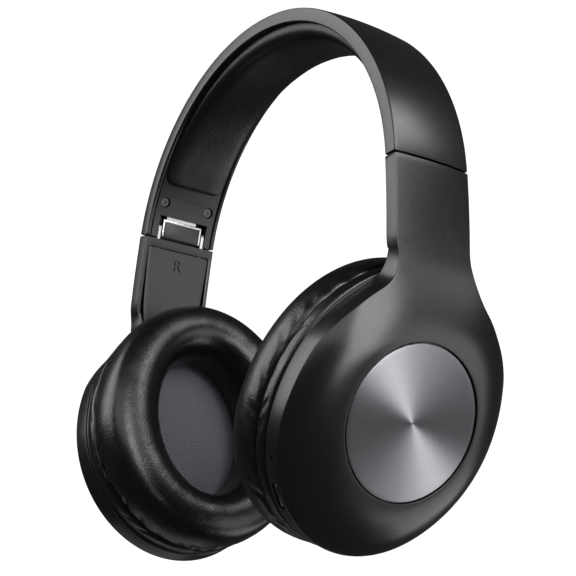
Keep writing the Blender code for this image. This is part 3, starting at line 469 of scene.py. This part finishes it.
# Arm and cup shells -------------------------------------------------------------------------------
# Arm and cup are one moulding in the satin ABS: a flat arm that flares into a domed oval, with a
# round recess for the disc, a flat rim 6 mm deep and a hollow for the driver and the electronics.

CUP_HALF, CUP_LOW, CUP_BELOW, CUP_ABOVE, CUP_LEAN = 40.5, 1.0, 43.0, 47.0, 0.10
DOME_RISE, RIM_DEPTH, CUP_WALL, BAR_HIGH = 8.3, 6.2, 1.6, 3.5
RECESS, DISC_SUNK, RECESS_FLOOR = 24.75, 0.3, -1.3
FLARE_START = math.asin(0.84)
RIM_O = -DOME_RISE - RIM_DEPTH


def in_cup(y, v, o, side=1):
    """Point in metres in the flat frame of the cup: y across, v up from the disc, o outward."""
    up = Vector((side * math.sin(CUP_TILT), 0, math.cos(CUP_TILT)))
    out = Vector((side * math.cos(CUP_TILT), 0, -math.sin(CUP_TILT)))
    return at(DISC_S, y, 0, side) + (up * v + out * o) * 0.001


def cup_frame(side):
    """Matrix on the middle of the cup: Y up its flat plane, Z outward."""
    up = Vector((side * math.sin(CUP_TILT), 0, math.cos(CUP_TILT)))
    out = Vector((side * math.cos(CUP_TILT), 0, -math.sin(CUP_TILT)))
    turned = Matrix((up.cross(out), up, out)).transposed().to_4x4()
    return Matrix.Translation(in_cup(0, 0, 0, side)) @ turned


def egg(angle, inset=0.0):
    """Point of the cup's oval before its lean, at an angle above its widest level."""
    tall = CUP_ABOVE if math.sin(angle) > 0 else CUP_BELOW
    return (CUP_HALF - inset) * math.cos(angle), (tall - inset) * math.sin(angle) - CUP_LOW


def lean(points):
    """The oval's points pushed back as they rise, since the cup leans towards the rear."""
    return [(y + CUP_LEAN * v, v) for y, v in points]


def arm_lean(u):
    """The shell's lean at the height u, which dies out up the neck."""
    t = min(max((56 - u) / 20, 0.0), 1.0)
    return CUP_LEAN * u * t * t * (3 - 2 * t)


def half_outline(inset=0.0, bar=0.0):
    """Front half of the shell's outline, from the foot up to the middle of the seam."""
    y0, u0 = egg(FLARE_START)
    turn = math.atan(math.tan(FLARE_START) * CUP_HALF / CUP_ABOVE)
    radius = (y0 - BAND_HALF) / (1 - math.cos(turn))
    neck_u, neck = u0 + radius * math.sin(turn), BAND_HALF - inset
    points = [egg(-math.pi / 2 + (FLARE_START + math.pi / 2) * i / 56, inset) for i in range(57)]
    for i in range(1, 15):
        a, reach = turn * (1 - i / 14), radius + inset
        points.append((BAND_HALF + radius - reach * math.cos(a), neck_u - reach * math.sin(a)))
    top = DISC_S - SEAM_S - SEAM_HALF - bar
    points += [(neck, neck_u + (top - 0.25 - neck_u) * i / 16) for i in range(1, 17)]
    points += [((neck - 0.25) * (1 - i / 10), top) for i in range(11)]
    return points


def outline(inset=0.0, bar=0.0):
    """The shell's closed outline, both halves with their lean."""
    half = half_outline(inset, bar)
    return [(y + arm_lean(u), u) for y, u in half + [(-y, u) for y, u in reversed(half[1:-1])]]


def arm_share(u):
    """0 on the cup, rising smoothly to 1 on the arm."""
    t = min(max((u - 14) / 36, 0.0), 1.0)
    return t * t * (3 - 2 * t)


def edge_drop(y, u):
    """How far the edge lies inward from the outer line: deep on the cup, the band's crown on the arm."""
    return DOME_RISE + (BAND_CROWN * (y / BAND_HALF) ** 2 - DOME_RISE) * arm_share(u)


LIP_EASE, ARM_RUN, ARM_SPREAD = 4.0, 7.0, 0.5


def dome_run(y, u):
    """How far the dome runs out from the recess: to the cup's oval, and further towards the arm."""
    tall = CUP_ABOVE - CUP_LOW if u > 0 else CUP_BELOW + CUP_LOW
    reach = math.hypot(y, u) / math.hypot((y - CUP_LEAN * u) / CUP_HALF, u / tall)
    return reach - RECESS + ARM_RUN * math.exp(-(math.atan2(y, u) / ARM_SPREAD) ** 2)


def dome_ring(edge, share, wall, side, recess):
    """A ring of the domed face, from the lip of the recess at share 0 to the edge at share 1."""
    ring = []
    for y, u in edge:
        reach = math.hypot(y, u)
        run, drop = dome_run(y, u) - 2 * (recess - RECESS), DOME_RISE + DISC_SUNK
        radius = (run * run + drop * drop) / (2 * drop)
        gone = (reach - recess) * share
        fall = radius - math.sqrt(max(radius * radius - gone * gone, 0.0))
        grow = (recess + gone) / reach
        arm = DISC_SUNK + BAND_CROWN * (y * grow / BAND_HALF) ** 2
        fall += (arm - fall) * arm_share(u * grow) * min(gone / LIP_EASE, 1.0)
        ring.append(at(DISC_S - u * grow, y * grow, DISC_SUNK - fall - wall, side))
    return ring


def round_ring(edge, radius, o, side):
    """A circle with one point under each point of the edge."""
    reaches = [(y, u, radius / math.hypot(y, u)) for y, u in edge]
    return [in_cup(share * y, share * u, o, side) for y, u, share in reaches]


def rim_ring(edge, side):
    """The rim's inward edge: the flat plane of the cup, or the inner face of the arm where deeper."""
    origin = at(DISC_S, 0, 0, side)
    up, out = in_cup(0, 1000, 0, side) - origin, in_cup(0, 0, 1000, side) - origin
    ring = []
    for y, u in edge:
        arm = at(DISC_S - u, y, -BAND_DEEP, side)
        crease = at(DISC_S - u, y, -edge_drop(y, u), side)
        deep = (arm - origin).dot(out) * 1000 < RIM_O
        ring.append(arm if deep else in_cup(y, (crease - origin).dot(up) * 1000, RIM_O, side))
    return ring


def softened(before, corner, after, size, steps=4):
    """Rings that round the corner ring between its two neighbours."""
    rings = []
    for k in range(steps + 1):
        t = k / steps
        ring = []
        for b, c, a in zip(before, corner, after):
            start = c + (b - c).normalized() * min(size / 1000, (b - c).length * 0.45)
            end = c + (a - c).normalized() * min(size / 1000, (a - c).length * 0.45)
            ring.append(start * (1 - t) ** 2 + c * 2 * t * (1 - t) + end * t * t)
        rings.append(ring)
    return rings


def arm_cup_shell(word, side):
    """Rings from the floor of the recess over the dome and the rim into the hollow."""
    edge, inner = outline(), outline(CUP_WALL, BAR_HIGH)
    floor = round_ring(edge, RECESS, RECESS_FLOOR, side)
    lip = dome_ring(edge, 0.0, 0.0, side, RECESS)
    dome = [dome_ring(edge, i / 26, 0.0, side, RECESS) for i in range(1, 26)]
    crease = dome_ring(edge, 1.0, 0.0, side, RECESS)
    rim, rim_inner = rim_ring(edge, side), rim_ring(inner, side)
    hollow = [dome_ring(inner, share, 1.4, side, RECESS + CUP_WALL) for share in (1.0, 0.66, 0.33)]
    rings = [floor]
    rings += softened(floor, lip, dome[0], 0.22)
    rings += dome
    rings += softened(dome[-1], crease, rim, 0.45)
    rings += softened(crease, rim, rim_inner, 0.3)
    rings += softened(rim, rim_inner, hollow[0], 0.3, 2)
    rings += hollow
    rings.append(round_ring(inner, RECESS + CUP_WALL, RECESS_FLOOR - CUP_WALL, side))
    shell = skin(f"{word}_arm_and_cup", rings)
    seam = at_frame(SEAM_S, 0, 0, side)
    pockets = []
    for end in (1, -1):
        low, high = sorted((end * 8.7, end * 10.4))
        pockets.append(box_at((low, -6.1, -5.35), (high, 2, -1.95), 0, turned=seam))
    return carve(shell, pockets)


shells = {word: arm_cup_shell(word, side) for word, side in (("left", 1), ("right", -1))}


# Keys of the left cup -----------------------------------------------------------------------------
# Three pill-shaped keys in the rear rim: volume up, play, volume down. Each is a moulded cap with a
# raised sign on it, and it stands 0.7 mm out of its slot.

KEYS = {"volume_up": (24, "plus"), "multi_function": (40, "bar"), "volume_down": (56, "minus")}
KEY_LONG, KEY_WIDE, KEY_PROUD = 7.4, 3.0, 0.7
SLOT_PLAY, KEY_LIP, KEY_DEEP = 0.6, 1.2, 3.6
SIGN_HALF, STROKE_HALF, SIGN_PROUD = 0.8, 0.14, 0.1


def rim_frame(angle, front):
    """Matrix on the rim: X along it, Y towards the dome, Z straight out of the rim."""
    facing = -1 if front else 1
    turn = -math.radians(angle)
    y, v = egg(turn)
    tangent_v = -CUP_BELOW * math.cos(turn)
    tangent_y = facing * CUP_HALF * math.sin(turn) + CUP_LEAN * tangent_v
    up = Vector((math.sin(CUP_TILT), 0, math.cos(CUP_TILT)))
    out = Vector((math.cos(CUP_TILT), 0, -math.sin(CUP_TILT)))
    along = (Vector((0, tangent_y, 0)) + tangent_v * up).normalized()
    away = out.cross(along)
    if away.y * facing < 0:
        along, away = -along, -away
    turned = Matrix((along, away.cross(along), away)).transposed().to_4x4()
    return Matrix.Translation(in_cup(facing * y + CUP_LEAN * v, v, -DOME_RISE - RIM_DEPTH / 2)) @ turned


def pill(name, long, wide, low, high, turned, bevel=0.0):
    """A pill-shaped block: a cube with its upright edges fully rounded, and its top edge softened."""
    made = box_at((-long / 2, -wide / 2, low), (long / 2, wide / 2, high), name=name)
    bpy.ops.object.mode_set(mode="EDIT")
    bpy.ops.mesh.select_all(action="DESELECT")
    bpy.ops.object.mode_set(mode="OBJECT")
    for e in made.data.edges:
        a, b = (made.data.vertices[i].co for i in e.vertices)
        e.select = abs(a.z - b.z) > 1e-5
    bpy.ops.object.mode_set(mode="EDIT")
    bpy.ops.mesh.bevel(offset=wide / 2000 - 0.00001, segments=10)
    if bevel:
        bpy.ops.mesh.select_all(action="DESELECT")
        bpy.ops.object.mode_set(mode="OBJECT")
        for face in made.data.polygons:
            face.select = face.normal.z > 0.9
        bpy.ops.object.mode_set(mode="EDIT")
        bpy.ops.mesh.region_to_loop()
        bpy.ops.mesh.bevel(offset=bevel / 1000, segments=4)
    bpy.ops.object.mode_set(mode="OBJECT")
    made.data.transform(turned)
    return made


key_abs = moulded_plastic("gloss_black_abs_keys", "0c0c0d", "121213", 0.24, 0.4, 0.002)

for word, (angle, sign) in KEYS.items():
    place = rim_frame(angle, front=False)
    carve(shells["left"], [pill("slot", KEY_LONG + SLOT_PLAY, KEY_WIDE + SLOT_PLAY, -4, 4, place)])
    key = pill(f"{word}_key", KEY_LONG, KEY_WIDE, -KEY_DEEP, KEY_PROUD, place, 0.4)
    lip = pill("lip", KEY_LONG + KEY_LIP, KEY_WIDE + KEY_LIP, -KEY_DEEP, 1 - KEY_DEEP, place)
    top = KEY_PROUD + SIGN_PROUD
    marks = [box_at((-SIGN_HALF, -STROKE_HALF, 0.5), (SIGN_HALF, STROKE_HALF, top), 0.04, turned=place)]
    if sign == "plus":
        marks.append(
            box_at((-STROKE_HALF, -SIGN_HALF, 0.5), (STROKE_HALF, SIGN_HALF, top), 0.04, turned=place)
        )
    carve(key, [lip] + marks, "UNION")
    give(key, key_abs, word, f"{word}_button")


# Charging socket and microphone -------------------------------------------------------------------
# A stamped metal socket in a slot of the front rim, and a pinhole with the microphone behind it.

PORT_ANGLE, MIC_ANGLE = 42, 24

place = rim_frame(PORT_ANGLE, front=True)
carve(shells["left"], [pill("slot", 9.0, 3.4, -7, 4, place)])
socket = pill("charging_socket", 8.4, 2.8, -5.0, -0.2, place)
tongue = pill("tongue", 6.2, 0.6, -4.5, -1.2, place)
carve(socket, [pill("mouth", 7.5, 1.9, -4.0, 2, place)])
carve(socket, [tongue], "UNION")
give(socket, nickel, "left_cup", "charging_port")
place = rim_frame(MIC_ANGLE, front=True)
carve(shells["left"], [rod_at(0.6, -4, 4, place, sides=24)])
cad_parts["microphone"].material_slots[0].material = nickel
for word in ("left", "right"):
    give(shells[word], satin_abs, f"{word}_cup", f"{word}_arm_cup_shell", angle=80)


# Inner covers of the arms -------------------------------------------------------------------------
# A grained plate let into the inner side of each arm, with the side's letter sunk in it.

COVER_FOOT, COVER_PLAY, ARM_FACE = 44.0, 0.12, -5.5


def half_width_at(u):
    """Half the width of the arm at the height u."""
    points = half_outline()[56:-11]
    for (y0, u0), (y1, u1) in zip(points, points[1:]):
        if u <= u1:
            return y0 + (y1 - y0) * (u - u0) / (u1 - u0)
    return BAND_HALF


def arm_cover(word, side):
    """Rings from the seam bar down to a foot that is curved like the oval of the cup."""
    top = DISC_S - SEAM_S - SEAM_HALF - BAR_HIGH - COVER_PLAY
    rings = []
    for r in range(41):
        share = r / 40
        half = half_width_at(top + (COVER_FOOT - top) * share) - CUP_WALL - COVER_PLAY - 1.6 * share
        low, high = [], []
        for c in range(33):
            y = half * (c / 16 - 1)
            foot = CUP_ABOVE * math.sqrt(1 - (y / CUP_HALF) ** 2) - CUP_LOW + 2.2
            u = top + (foot - top) * share
            edge = max(0.0, abs(y) - half + 0.3) + max(0.0, 0.3 - (top - u))
            low.append(at(DISC_S - u, y + arm_lean(u), ARM_FACE + edge * 0.5, side))
            high.append(at(DISC_S - u, y + arm_lean(u), COVER_BACK, side))
        rings.append(low + high[::-1])
    return skin(f"{word}_arm_cover", rings)


def sunk_letter(letter, side):
    """The letter as a tool that reads from the inner side of the arm."""
    bpy.ops.object.select_all(action="DESELECT")
    bpy.ops.object.text_add()
    text = bpy.context.object
    text.data.body = letter
    text.data.size = 0.0062
    text.data.extrude = 0.0004
    text.data.align_x = "CENTER"
    text.data.align_y = "CENTER"
    bpy.ops.object.convert(target="MESH")
    text = bpy.context.object
    place = at_frame(SEAM_S + 9.5, 0, ARM_FACE, side) @ Matrix.Rotation(math.pi, 4, "Y")
    text.data.transform(place)
    return text


for word, side in (("left", 1), ("right", -1)):
    plate = arm_cover(word, side)
    carve(plate, [sunk_letter(word[0].upper(), side)])
    give(plate, grained_abs, f"{word}_cup", f"{word}_arm_inner_cover")


# Disc trims ---------------------------------------------------------------------------------------
# A flat disc of gunmetal anodised aluminium set into each cup. Its face is turned on a lathe, and
# the fine rings spread each light into two fans from the middle.

DISC_RADIUS, DISC_THICK, CHAMFER = 24.15, 1.0, 0.12


def turned_aluminium():
    """Lathe-turned face: fine rings round the middle, with the gloss drawn out across them."""
    material, tree, shader = new_finish(
        "turned_gunmetal_aluminium", Metallic=1.0, Anisotropic=0.92, Anisotropic_Rotation=0.25
    )
    polar = add(tree, "UVMap", {"uv_map": "polar"})
    streak = add(tree, "Mapping", {"Scale": (0.5, 5.0, 1.0)}, {"Vector": polar.outputs[0]})
    scratch = add(
        tree, "TexNoise", {"Scale": 1.0, "Detail": 6.0, "Roughness": 0.7}, {"Vector": streak.outputs[0]}
    )
    colour = add(
        tree, "MixRGB", {"Color1": linear("7c7d82"), "Color2": linear("98999c")}, {"Fac": scratch.outputs[0]}
    )
    sheen = add(tree, "MapRange", {"To Min": 0.38, "To Max": 0.46}, {0: scratch.outputs[0]})
    groove = add(
        tree, "TexWave", {"bands_direction": "Y", "Scale": 0.9, "Distortion": 0.3},
        {"Vector": polar.outputs[0]},
    )
    bump = add(tree, "Bump", {"Strength": 0.12, "Distance": 0.00003}, {"Height": groove.outputs[0]})
    around = add(tree, "Tangent", {"direction_type": "UV_MAP", "uv_map": "polar"})
    tree.links.new(colour.outputs[0], shader.inputs["Base Color"])
    tree.links.new(sheen.outputs[0], shader.inputs["Roughness"])
    tree.links.new(bump.outputs[0], shader.inputs["Normal"])
    tree.links.new(around.outputs[0], shader.inputs["Tangent"])
    return material


aluminium = turned_aluminium()


def disc_trim(word, side):
    """Rings from the middle out over a small chamfer, with a polar UV map: millimetres round and out."""
    steps, place = 160, cup_frame(side)
    profile = [(0.02, 0.0)] + [(DISC_RADIUS * k / 16, 0.0) for k in range(1, 16)]
    profile += [(DISC_RADIUS - CHAMFER, 0.0), (DISC_RADIUS - CHAMFER / 4, -CHAMFER / 4)]
    profile += [(DISC_RADIUS, -CHAMFER), (DISC_RADIUS, -DISC_THICK)]
    turns = [2 * math.pi * i / steps for i in range(steps)]
    rings = []
    for radius, high in profile:
        circle = [Vector((radius * math.cos(a), radius * math.sin(a), high)) for a in turns]
        rings.append([place @ (p * 0.001) for p in circle])
    disc = skin(f"{word}_cup_disc", rings)
    polar = disc.data.uv_layers.new(name="polar")
    back = place.inverted()
    for face in disc.data.polygons:
        middle = back @ face.center
        around = math.atan2(middle.y, middle.x)
        for i in face.loop_indices:
            p = back @ disc.data.vertices[disc.data.loops[i].vertex_index].co
            turn = math.atan2(p.y, p.x)
            turn += 2 * math.pi * round((around - turn) / (2 * math.pi))
            polar.data[i].uv = (turn * 16.0, math.hypot(p.x, p.y) * 1000)
    return disc


for word, side in (("left", 1), ("right", -1)):
    give(disc_trim(word, side), aluminium, f"{word}_cup", f"{word}_disc_trim", angle=20)


# Baffles, drivers and clip rings ------------------------------------------------------------------
# The baffle is the plate that closes the cup. It carries the driver in its round hole and, in the
# step of its face, the clip ring that holds the skirt of the cushion.

BAFFLE_BACK, BAFFLE_FACE, BAFFLE_FLOOR = RIM_O - 0.3, RIM_O - 3.3, RIM_O - 1.7
DRIVER_BORE = 20.3


def oval(half_wide, half_high, steps=144, raised=0.0):
    """Points of an ellipse, raised above the disc's middle by that much."""
    turns = [2 * math.pi * i / steps for i in range(steps)]
    return [(half_wide * math.cos(a), half_high * math.sin(a) + raised) for a in turns]


def egg_ring(inset, o, side, steps=144):
    """A ring of the cup's own oval, drawn in by the inset."""
    shape = lean([egg(2 * math.pi * i / steps, inset) for i in range(steps)])
    return [in_cup(y, v, o, side) for y, v in shape]


def baffle(word, side):
    """A stepped plate with the driver's hole, as one closed section swept round."""
    bore = oval(DRIVER_BORE, DRIVER_BORE)
    corners = [
        (egg_ring(0.4, BAFFLE_BACK, side), 0.2),
        (egg_ring(0.5, BAFFLE_BACK - 0.7, side), 0.2),
        (egg_ring(3.0, BAFFLE_BACK - 1.0, side), 0.2),
        (egg_ring(3.2, BAFFLE_FACE, side), 0.4),
        (egg_ring(5.0, BAFFLE_FACE, side), 0.2),
        (egg_ring(5.0, BAFFLE_FLOOR, side), 0.2),
        ([in_cup(y, v, BAFFLE_FLOOR, side) for y, v in bore], 0.2),
        ([in_cup(y, v, BAFFLE_BACK, side) for y, v in bore], 0.2),
    ]
    rings = []
    for i, (ring, size) in enumerate(corners):
        after = corners[(i + 1) % len(corners)][0]
        rings += softened(corners[i - 1][0], ring, after, size, 3)
    return skin(f"{word}_cup_baffle", rings, closed=True)


driver_black = rolled_metal("painted_steel_driver", "2a2a2d", "38383b", 0.45, 2.0)

for word, side in (("left", 1), ("right", -1)):
    give(baffle(word, side), grained_abs, f"{word}_cup", f"{word}_speaker_baffle")
    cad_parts[f"{word}_cushion_clip_ring"].material_slots[0].material = grained_abs
    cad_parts[f"{word}_speaker_driver"].material_slots[0].material = driver_black


# Speaker cloths -----------------------------------------------------------------------------------
# Dark grey woven acoustic cloth stretched over each driver, glued at its edge behind the cushion.

CLOTH_HALF, CLOTH_TALL, CLOTH_O, THREAD_MM = 25.0, 32.0, RIM_O - 2.0, 0.9


def woven_cloth():
    """Threads cross on the slant every 0.5 mm in the real cloth, drawn here at 0.9 mm to show."""
    material, tree, shader = new_finish("woven_grey_acoustic_cloth", Roughness=0.9, Sheen_Weight=0.25)
    flat = add(tree, "UVMap", {"uv_map": "flat"})
    threads = []
    for turn in (45, -45):
        slant = add(
            tree, "Mapping", {"Rotation": (0, 0, math.radians(turn))}, {"Vector": flat.outputs[0]}
        )
        threads.append(add(
            tree, "TexWave", {"Scale": 0.314 / THREAD_MM, "Distortion": 0.15},
            {"Vector": slant.outputs[0]},
        ))
    weave = add(
        tree, "Math", {"operation": "MULTIPLY"}, {0: threads[0].outputs[1], 1: threads[1].outputs[1]}
    )
    place = add(tree, "TexCoord", {})
    fibre = add(tree, "TexNoise", {"Scale": 3500.0, "Detail": 3.0}, {"Vector": place.outputs["Object"]})
    mixed = add(
        tree, "Math", {"operation": "MULTIPLY_ADD", 1: 0.25}, {0: fibre.outputs[0], 2: weave.outputs[0]}
    )
    colour = add(
        tree, "MixRGB", {"Color1": linear("3a3a41"), "Color2": linear("6f6f78")}, {"Fac": mixed.outputs[0]}
    )
    bump = add(tree, "Bump", {"Strength": 0.5, "Distance": 0.00012}, {"Height": weave.outputs[0]})
    tree.links.new(colour.outputs[0], shader.inputs["Base Color"])
    tree.links.new(bump.outputs[0], shader.inputs["Normal"])
    return material


cloth_finish = woven_cloth()


def speaker_cloth(word, side):
    """An oval of cloth, crowned by half a millimetre, with a UV map in millimetres."""
    rings, shares = [], [1.0, 1.0] + [1 - k / 18 for k in range(1, 18)] + [0.02]
    for k, share in enumerate(shares):
        crown = 0.55 * (1 - share ** 2) + (0.25 if k else 0.0)
        shape = lean(oval(CLOTH_HALF * share, CLOTH_TALL * share, 96, 1.0))
        rings.append([in_cup(y, v, CLOTH_O - crown, side) for y, v in shape])
    cloth = skin(f"{word}_acoustic_cloth", rings)
    flat = cloth.data.uv_layers.new(name="flat")
    back = cup_frame(side).inverted()
    for loop in cloth.data.loops:
        p = back @ cloth.data.vertices[loop.vertex_index].co
        flat.data[loop.index].uv = (p.x * 1000, p.y * 1000)
    return cloth


for word, side in (("left", 1), ("right", -1)):
    cloth = give(speaker_cloth(word, side), cloth_finish, f"{word}_cup", f"{word}_speaker_cloth")


# Ear cushions -------------------------------------------------------------------------------------
# A fat ring of foam in black protein leather, sewn from a face and a skirt. The seam between them
# pulls in near the baffle, and the leather gathers into small folds on both sides of it.

cushion_leather = protein_leather("black_protein_leather_cushion", "050506", "0a0a0b", 0.29)

CUSHION_BACK, HOLE_HALF, HOLE_TALL = RIM_O - 3.6, 18.5, 26.5
CUSHION_SECTION = (
    (0.25, 0.0), (0.21, -0.3), (0.205, -1.6), (0.16, -2.3), (0.085, -2.3), (0.05, -1.7), (0.035, -0.4),
    (0.03, 0.9), (0.045, 1.9), (0.085, 2.5), (0.045, 3.1), (0.01, 4.6), (-0.005, 7.5), (0.0, 10.5),
    (0.03, 13.6), (0.09, 15.8), (0.19, 17.3), (0.32, 18.1), (0.46, 18.4), (0.60, 18.1), (0.73, 17.0),
    (0.84, 14.9), (0.92, 11.8), (0.975, 8.0), (1.0, 4.5), (0.99, 2.0), (0.95, 0.5), (0.86, 0.0),
)


def smooth_loop(points, steps):
    """A closed smooth curve through the points."""
    made = []
    for i in range(len(points)):
        a, b, c, d = (Vector(points[(i + k - 1) % len(points)]) for k in range(4))
        for k in range(steps):
            t = k / steps
            bent = (2 * a - 5 * b + 4 * c - d) * t * t + (3 * b - a - 3 * c + d) * t ** 3
            made.append(0.5 * (2 * b + (c - a) * t + bent))
    return made


def folds(seed, count):
    """Folds around the ring: (angle, half width in radians, depth in millimetres)."""
    pick = random.Random(seed)
    made = []
    for i in range(count):
        angle = 2 * math.pi * (i + pick.uniform(-0.35, 0.35)) / count
        made.append((angle, pick.uniform(0.02, 0.055), pick.uniform(0.25, 1.0)))
    return made


def fold_depth(places, angle):
    """How deep the folds press at that angle."""
    total = 0.0
    for middle, wide, deep in places:
        gap = (angle - middle + math.pi) % (2 * math.pi) - math.pi
        total += deep * math.exp(-(gap / wide) ** 2)
    return total


def bump_at(value, middle, wide):
    """1 at the middle, dying out smoothly on both sides of it."""
    return math.exp(-((value - middle) / wide) ** 2)


def ear_cushion(word, side, seed):
    """The section swept from the cup's oval to the ear hole, with the folds along its seam."""
    steps = 300
    outer = lean([egg(2 * math.pi * i / steps, -1.0) for i in range(steps)])
    hole = lean(oval(HOLE_HALF, HOLE_TALL, steps, 1.0))
    near, far = folds(seed, 34), folds(seed + 1, 22)
    rings = []
    for share, deep in smooth_loop(CUSHION_SECTION, 4):
        ring = []
        outside = share < 0.3
        for i, ((oy, ov), (hy, hv)) in enumerate(zip(outer, hole)):
            angle = 2 * math.pi * i / steps
            wander = noise.noise(Vector((math.cos(angle) * 2.2, math.sin(angle) * 2.2, seed)))
            fine = noise.noise(Vector((math.cos(angle) * 7, math.sin(angle) * 7, deep * 0.25 + seed)))
            d, s = deep, share
            if outside and deep > -2:
                d += (wander * 1.2 + fine * 0.45) * bump_at(deep, 2.5, 2.6)
                dent = fold_depth(near, angle + 0.02 * deep) * bump_at(deep, 4.6, 2.2)
                dent += 0.5 * fold_depth(far, angle - 0.03 * deep) * bump_at(deep, 0.6, 1.4)
                s += dent / 22
            if share > 0.8:
                s -= 0.35 * fold_depth(far, angle) * bump_at(deep, 3.5, 3.5) / 22
            d += (0.25 * wander + 0.08 * fine) * bump_at(share, 0.45, 0.35) * max(deep, 0) / 18
            ring.append(in_cup(oy + (hy - oy) * s, ov + (hv - ov) * s, CUSHION_BACK - d, side))
        rings.append(ring)
    return skin(f"{word}_cushion_ring", rings, closed=True)


for word, side, seed in (("left", 1, 4), ("right", -1, 11)):
    cushion = give(
        ear_cushion(word, side, seed), cushion_leather, f"{word}_cup", f"{word}_ear_cushion", angle=75
    )


# Circuit board and battery ------------------------------------------------------------------------
# A small green board behind the left disc and a foil pouch cell behind the right one.

def solder_mask():
    """Green lacquer over copper tracks."""
    material, tree, shader = new_finish("green_solder_mask", Roughness=0.35)
    place = add(tree, "TexCoord", {})
    tracks = add(
        tree, "TexBrick",
        {"Scale": 420.0, "Mortar Size": 0.06, "Color1": linear("1d5a38"), "Color2": linear("1a5033"),
         "Mortar": linear("3a8558")},
        {"Vector": place.outputs["Object"]},
    )
    tree.links.new(tracks.outputs[0], shader.inputs["Base Color"])
    return material


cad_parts["circuit_board"].material_slots[0].material = solder_mask()
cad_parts["battery_cell"].material_slots[0].material = rolled_metal(
    "pouch_cell_foil", "9fa1a5", "bcbec2", 0.38, 6.0
)


# Floor, backdrop, lights and camera ---------------------------------------------------------------
# A pale floor under the feet of the cups, a plain white surround and seven soft boxes of light. The
# floor's underside is clear, so that a low camera sees past it, and the floor isn't mirrored.

def stage_finish(name, colour, strength=0.0):
    """A plain matt paint, which may shine by itself."""
    material, _, shader = new_finish(name, Roughness=0.9)
    shader.inputs["Base Color"].default_value = linear(colour)
    shader.inputs["Emission Color"].default_value = linear(colour)
    shader.inputs["Emission Strength"].default_value = strength
    return material


bpy.ops.object.select_all(action="DESELECT")
bpy.ops.mesh.primitive_plane_add(size=6.0, location=(0, 0, -0.0005))
floor = bpy.context.object
floor.name = "studio_floor"
floor_finish = stage_finish("pale_floor", "f2f2f2")
tree = floor_finish.node_tree
clear = add(tree, "BsdfTransparent", {})
facing = add(tree, "NewGeometry", {})
mix = add(
    tree, "MixShader", {},
    {0: facing.outputs["Backfacing"], 1: tree.nodes["Principled BSDF"].outputs[0], 2: clear.outputs[0]},
)
tree.links.new(mix.outputs[0], tree.nodes["Material Output"].inputs["Surface"])
floor.data.materials.append(floor_finish)
floor.visible_glossy = False
floor.visible_shadow = False

bpy.ops.mesh.primitive_uv_sphere_add(segments=48, ring_count=24, radius=5.0, location=(0, 0, 0))
surround = bpy.context.object
surround.name = "white_surround"
surround.data.materials.append(stage_finish("white_surround", "ffffff", 1.0))
for ray in ("visible_diffuse", "visible_glossy", "visible_transmission", "visible_shadow"):
    setattr(surround, ray, False)

world = bpy.data.worlds.new("studio")
world.use_nodes = True
world.node_tree.nodes["Background"].inputs[0].default_value = linear("ffffff")
world.node_tree.nodes["Background"].inputs[1].default_value = 0.05
bpy.context.scene.world = world
bpy.context.scene.view_settings.view_transform = "Standard"

MIDDLE, BOX_AWAY = Vector((0, 0, 0.0935)), 1.2
VIEW_FROM, VIEW_UP, VIEW_ROLL = math.radians(53.95), math.radians(-13.5), 0.065
CAMERA_AWAY, CAMERA_RIGHT, CAMERA_DOWN, LENS_MM = 537.797, 1.259, 1.697, 98.712


def camera_axes():
    """The camera's right, up and backward directions."""
    a, e = VIEW_FROM, VIEW_UP
    back = Vector((math.sin(a) * math.cos(e), -math.cos(a) * math.cos(e), math.sin(e)))
    level = Vector((math.cos(a), math.sin(a), 0))
    upright = Vector((-math.sin(a) * math.sin(e), math.cos(a) * math.sin(e), math.cos(e)))
    right = math.cos(VIEW_ROLL) * level + math.sin(VIEW_ROLL) * upright
    return right, math.cos(VIEW_ROLL) * upright - math.sin(VIEW_ROLL) * level, back


def soft_box(name, around, above, wide, high, brightness):
    """A soft box 1.2 m off: degrees round from the camera and up, its spread in degrees each way."""
    right, up, back = camera_axes()
    a, e = math.radians(around), math.radians(above)
    towards = right * math.sin(a) * math.cos(e) + up * math.sin(e) + back * math.cos(a) * math.cos(e)
    light = bpy.data.objects.new(name, bpy.data.lights.new(name, "AREA"))
    light.data.shape = "RECTANGLE"
    light.data.size = 2 * BOX_AWAY * math.tan(math.radians(wide))
    light.data.size_y = 2 * BOX_AWAY * math.tan(math.radians(high))
    light.data.energy = brightness * math.pi * light.data.size * light.data.size_y
    light.location = MIDDLE + towards * BOX_AWAY
    light.rotation_mode = "QUATERNION"
    light.rotation_quaternion = (-towards).to_track_quat("-Z", "Y")
    light.visible_camera = False
    bpy.context.scene.collection.objects.link(light)


soft_box("key_box", 45, 26, 18, 26, 6.2)
soft_box("right_box", 80, -2, 14, 16, 1.8)
soft_box("low_right_box", 98, -38, 20, 12, 2.0)
soft_box("kicker_box", 84, 42, 8, 8, 7.0)
soft_box("overhead_box", -6, 52, 34, 15, 1.8)
soft_box("left_box", -98, 32, 20, 20, 3.5)
soft_box("low_left_box", -140, -60, 24, 12, 0.4)

camera = bpy.data.objects.new("camera", bpy.data.cameras.new("camera"))
right, up, back = camera_axes()
aim = Vector((0, 0, CROWN_Z / 1000 - 0.09375))
stand = aim + (back * CAMERA_AWAY + right * CAMERA_RIGHT - up * CAMERA_DOWN) * 0.001
turned = Matrix((right, up, back)).transposed().to_4x4()
camera.matrix_world = Matrix.Translation(stand) @ turned
camera.data.lens = LENS_MM
camera.data.sensor_width = 36
camera.data.clip_end = 20
bpy.context.scene.collection.objects.link(camera)
bpy.context.scene.camera = camera
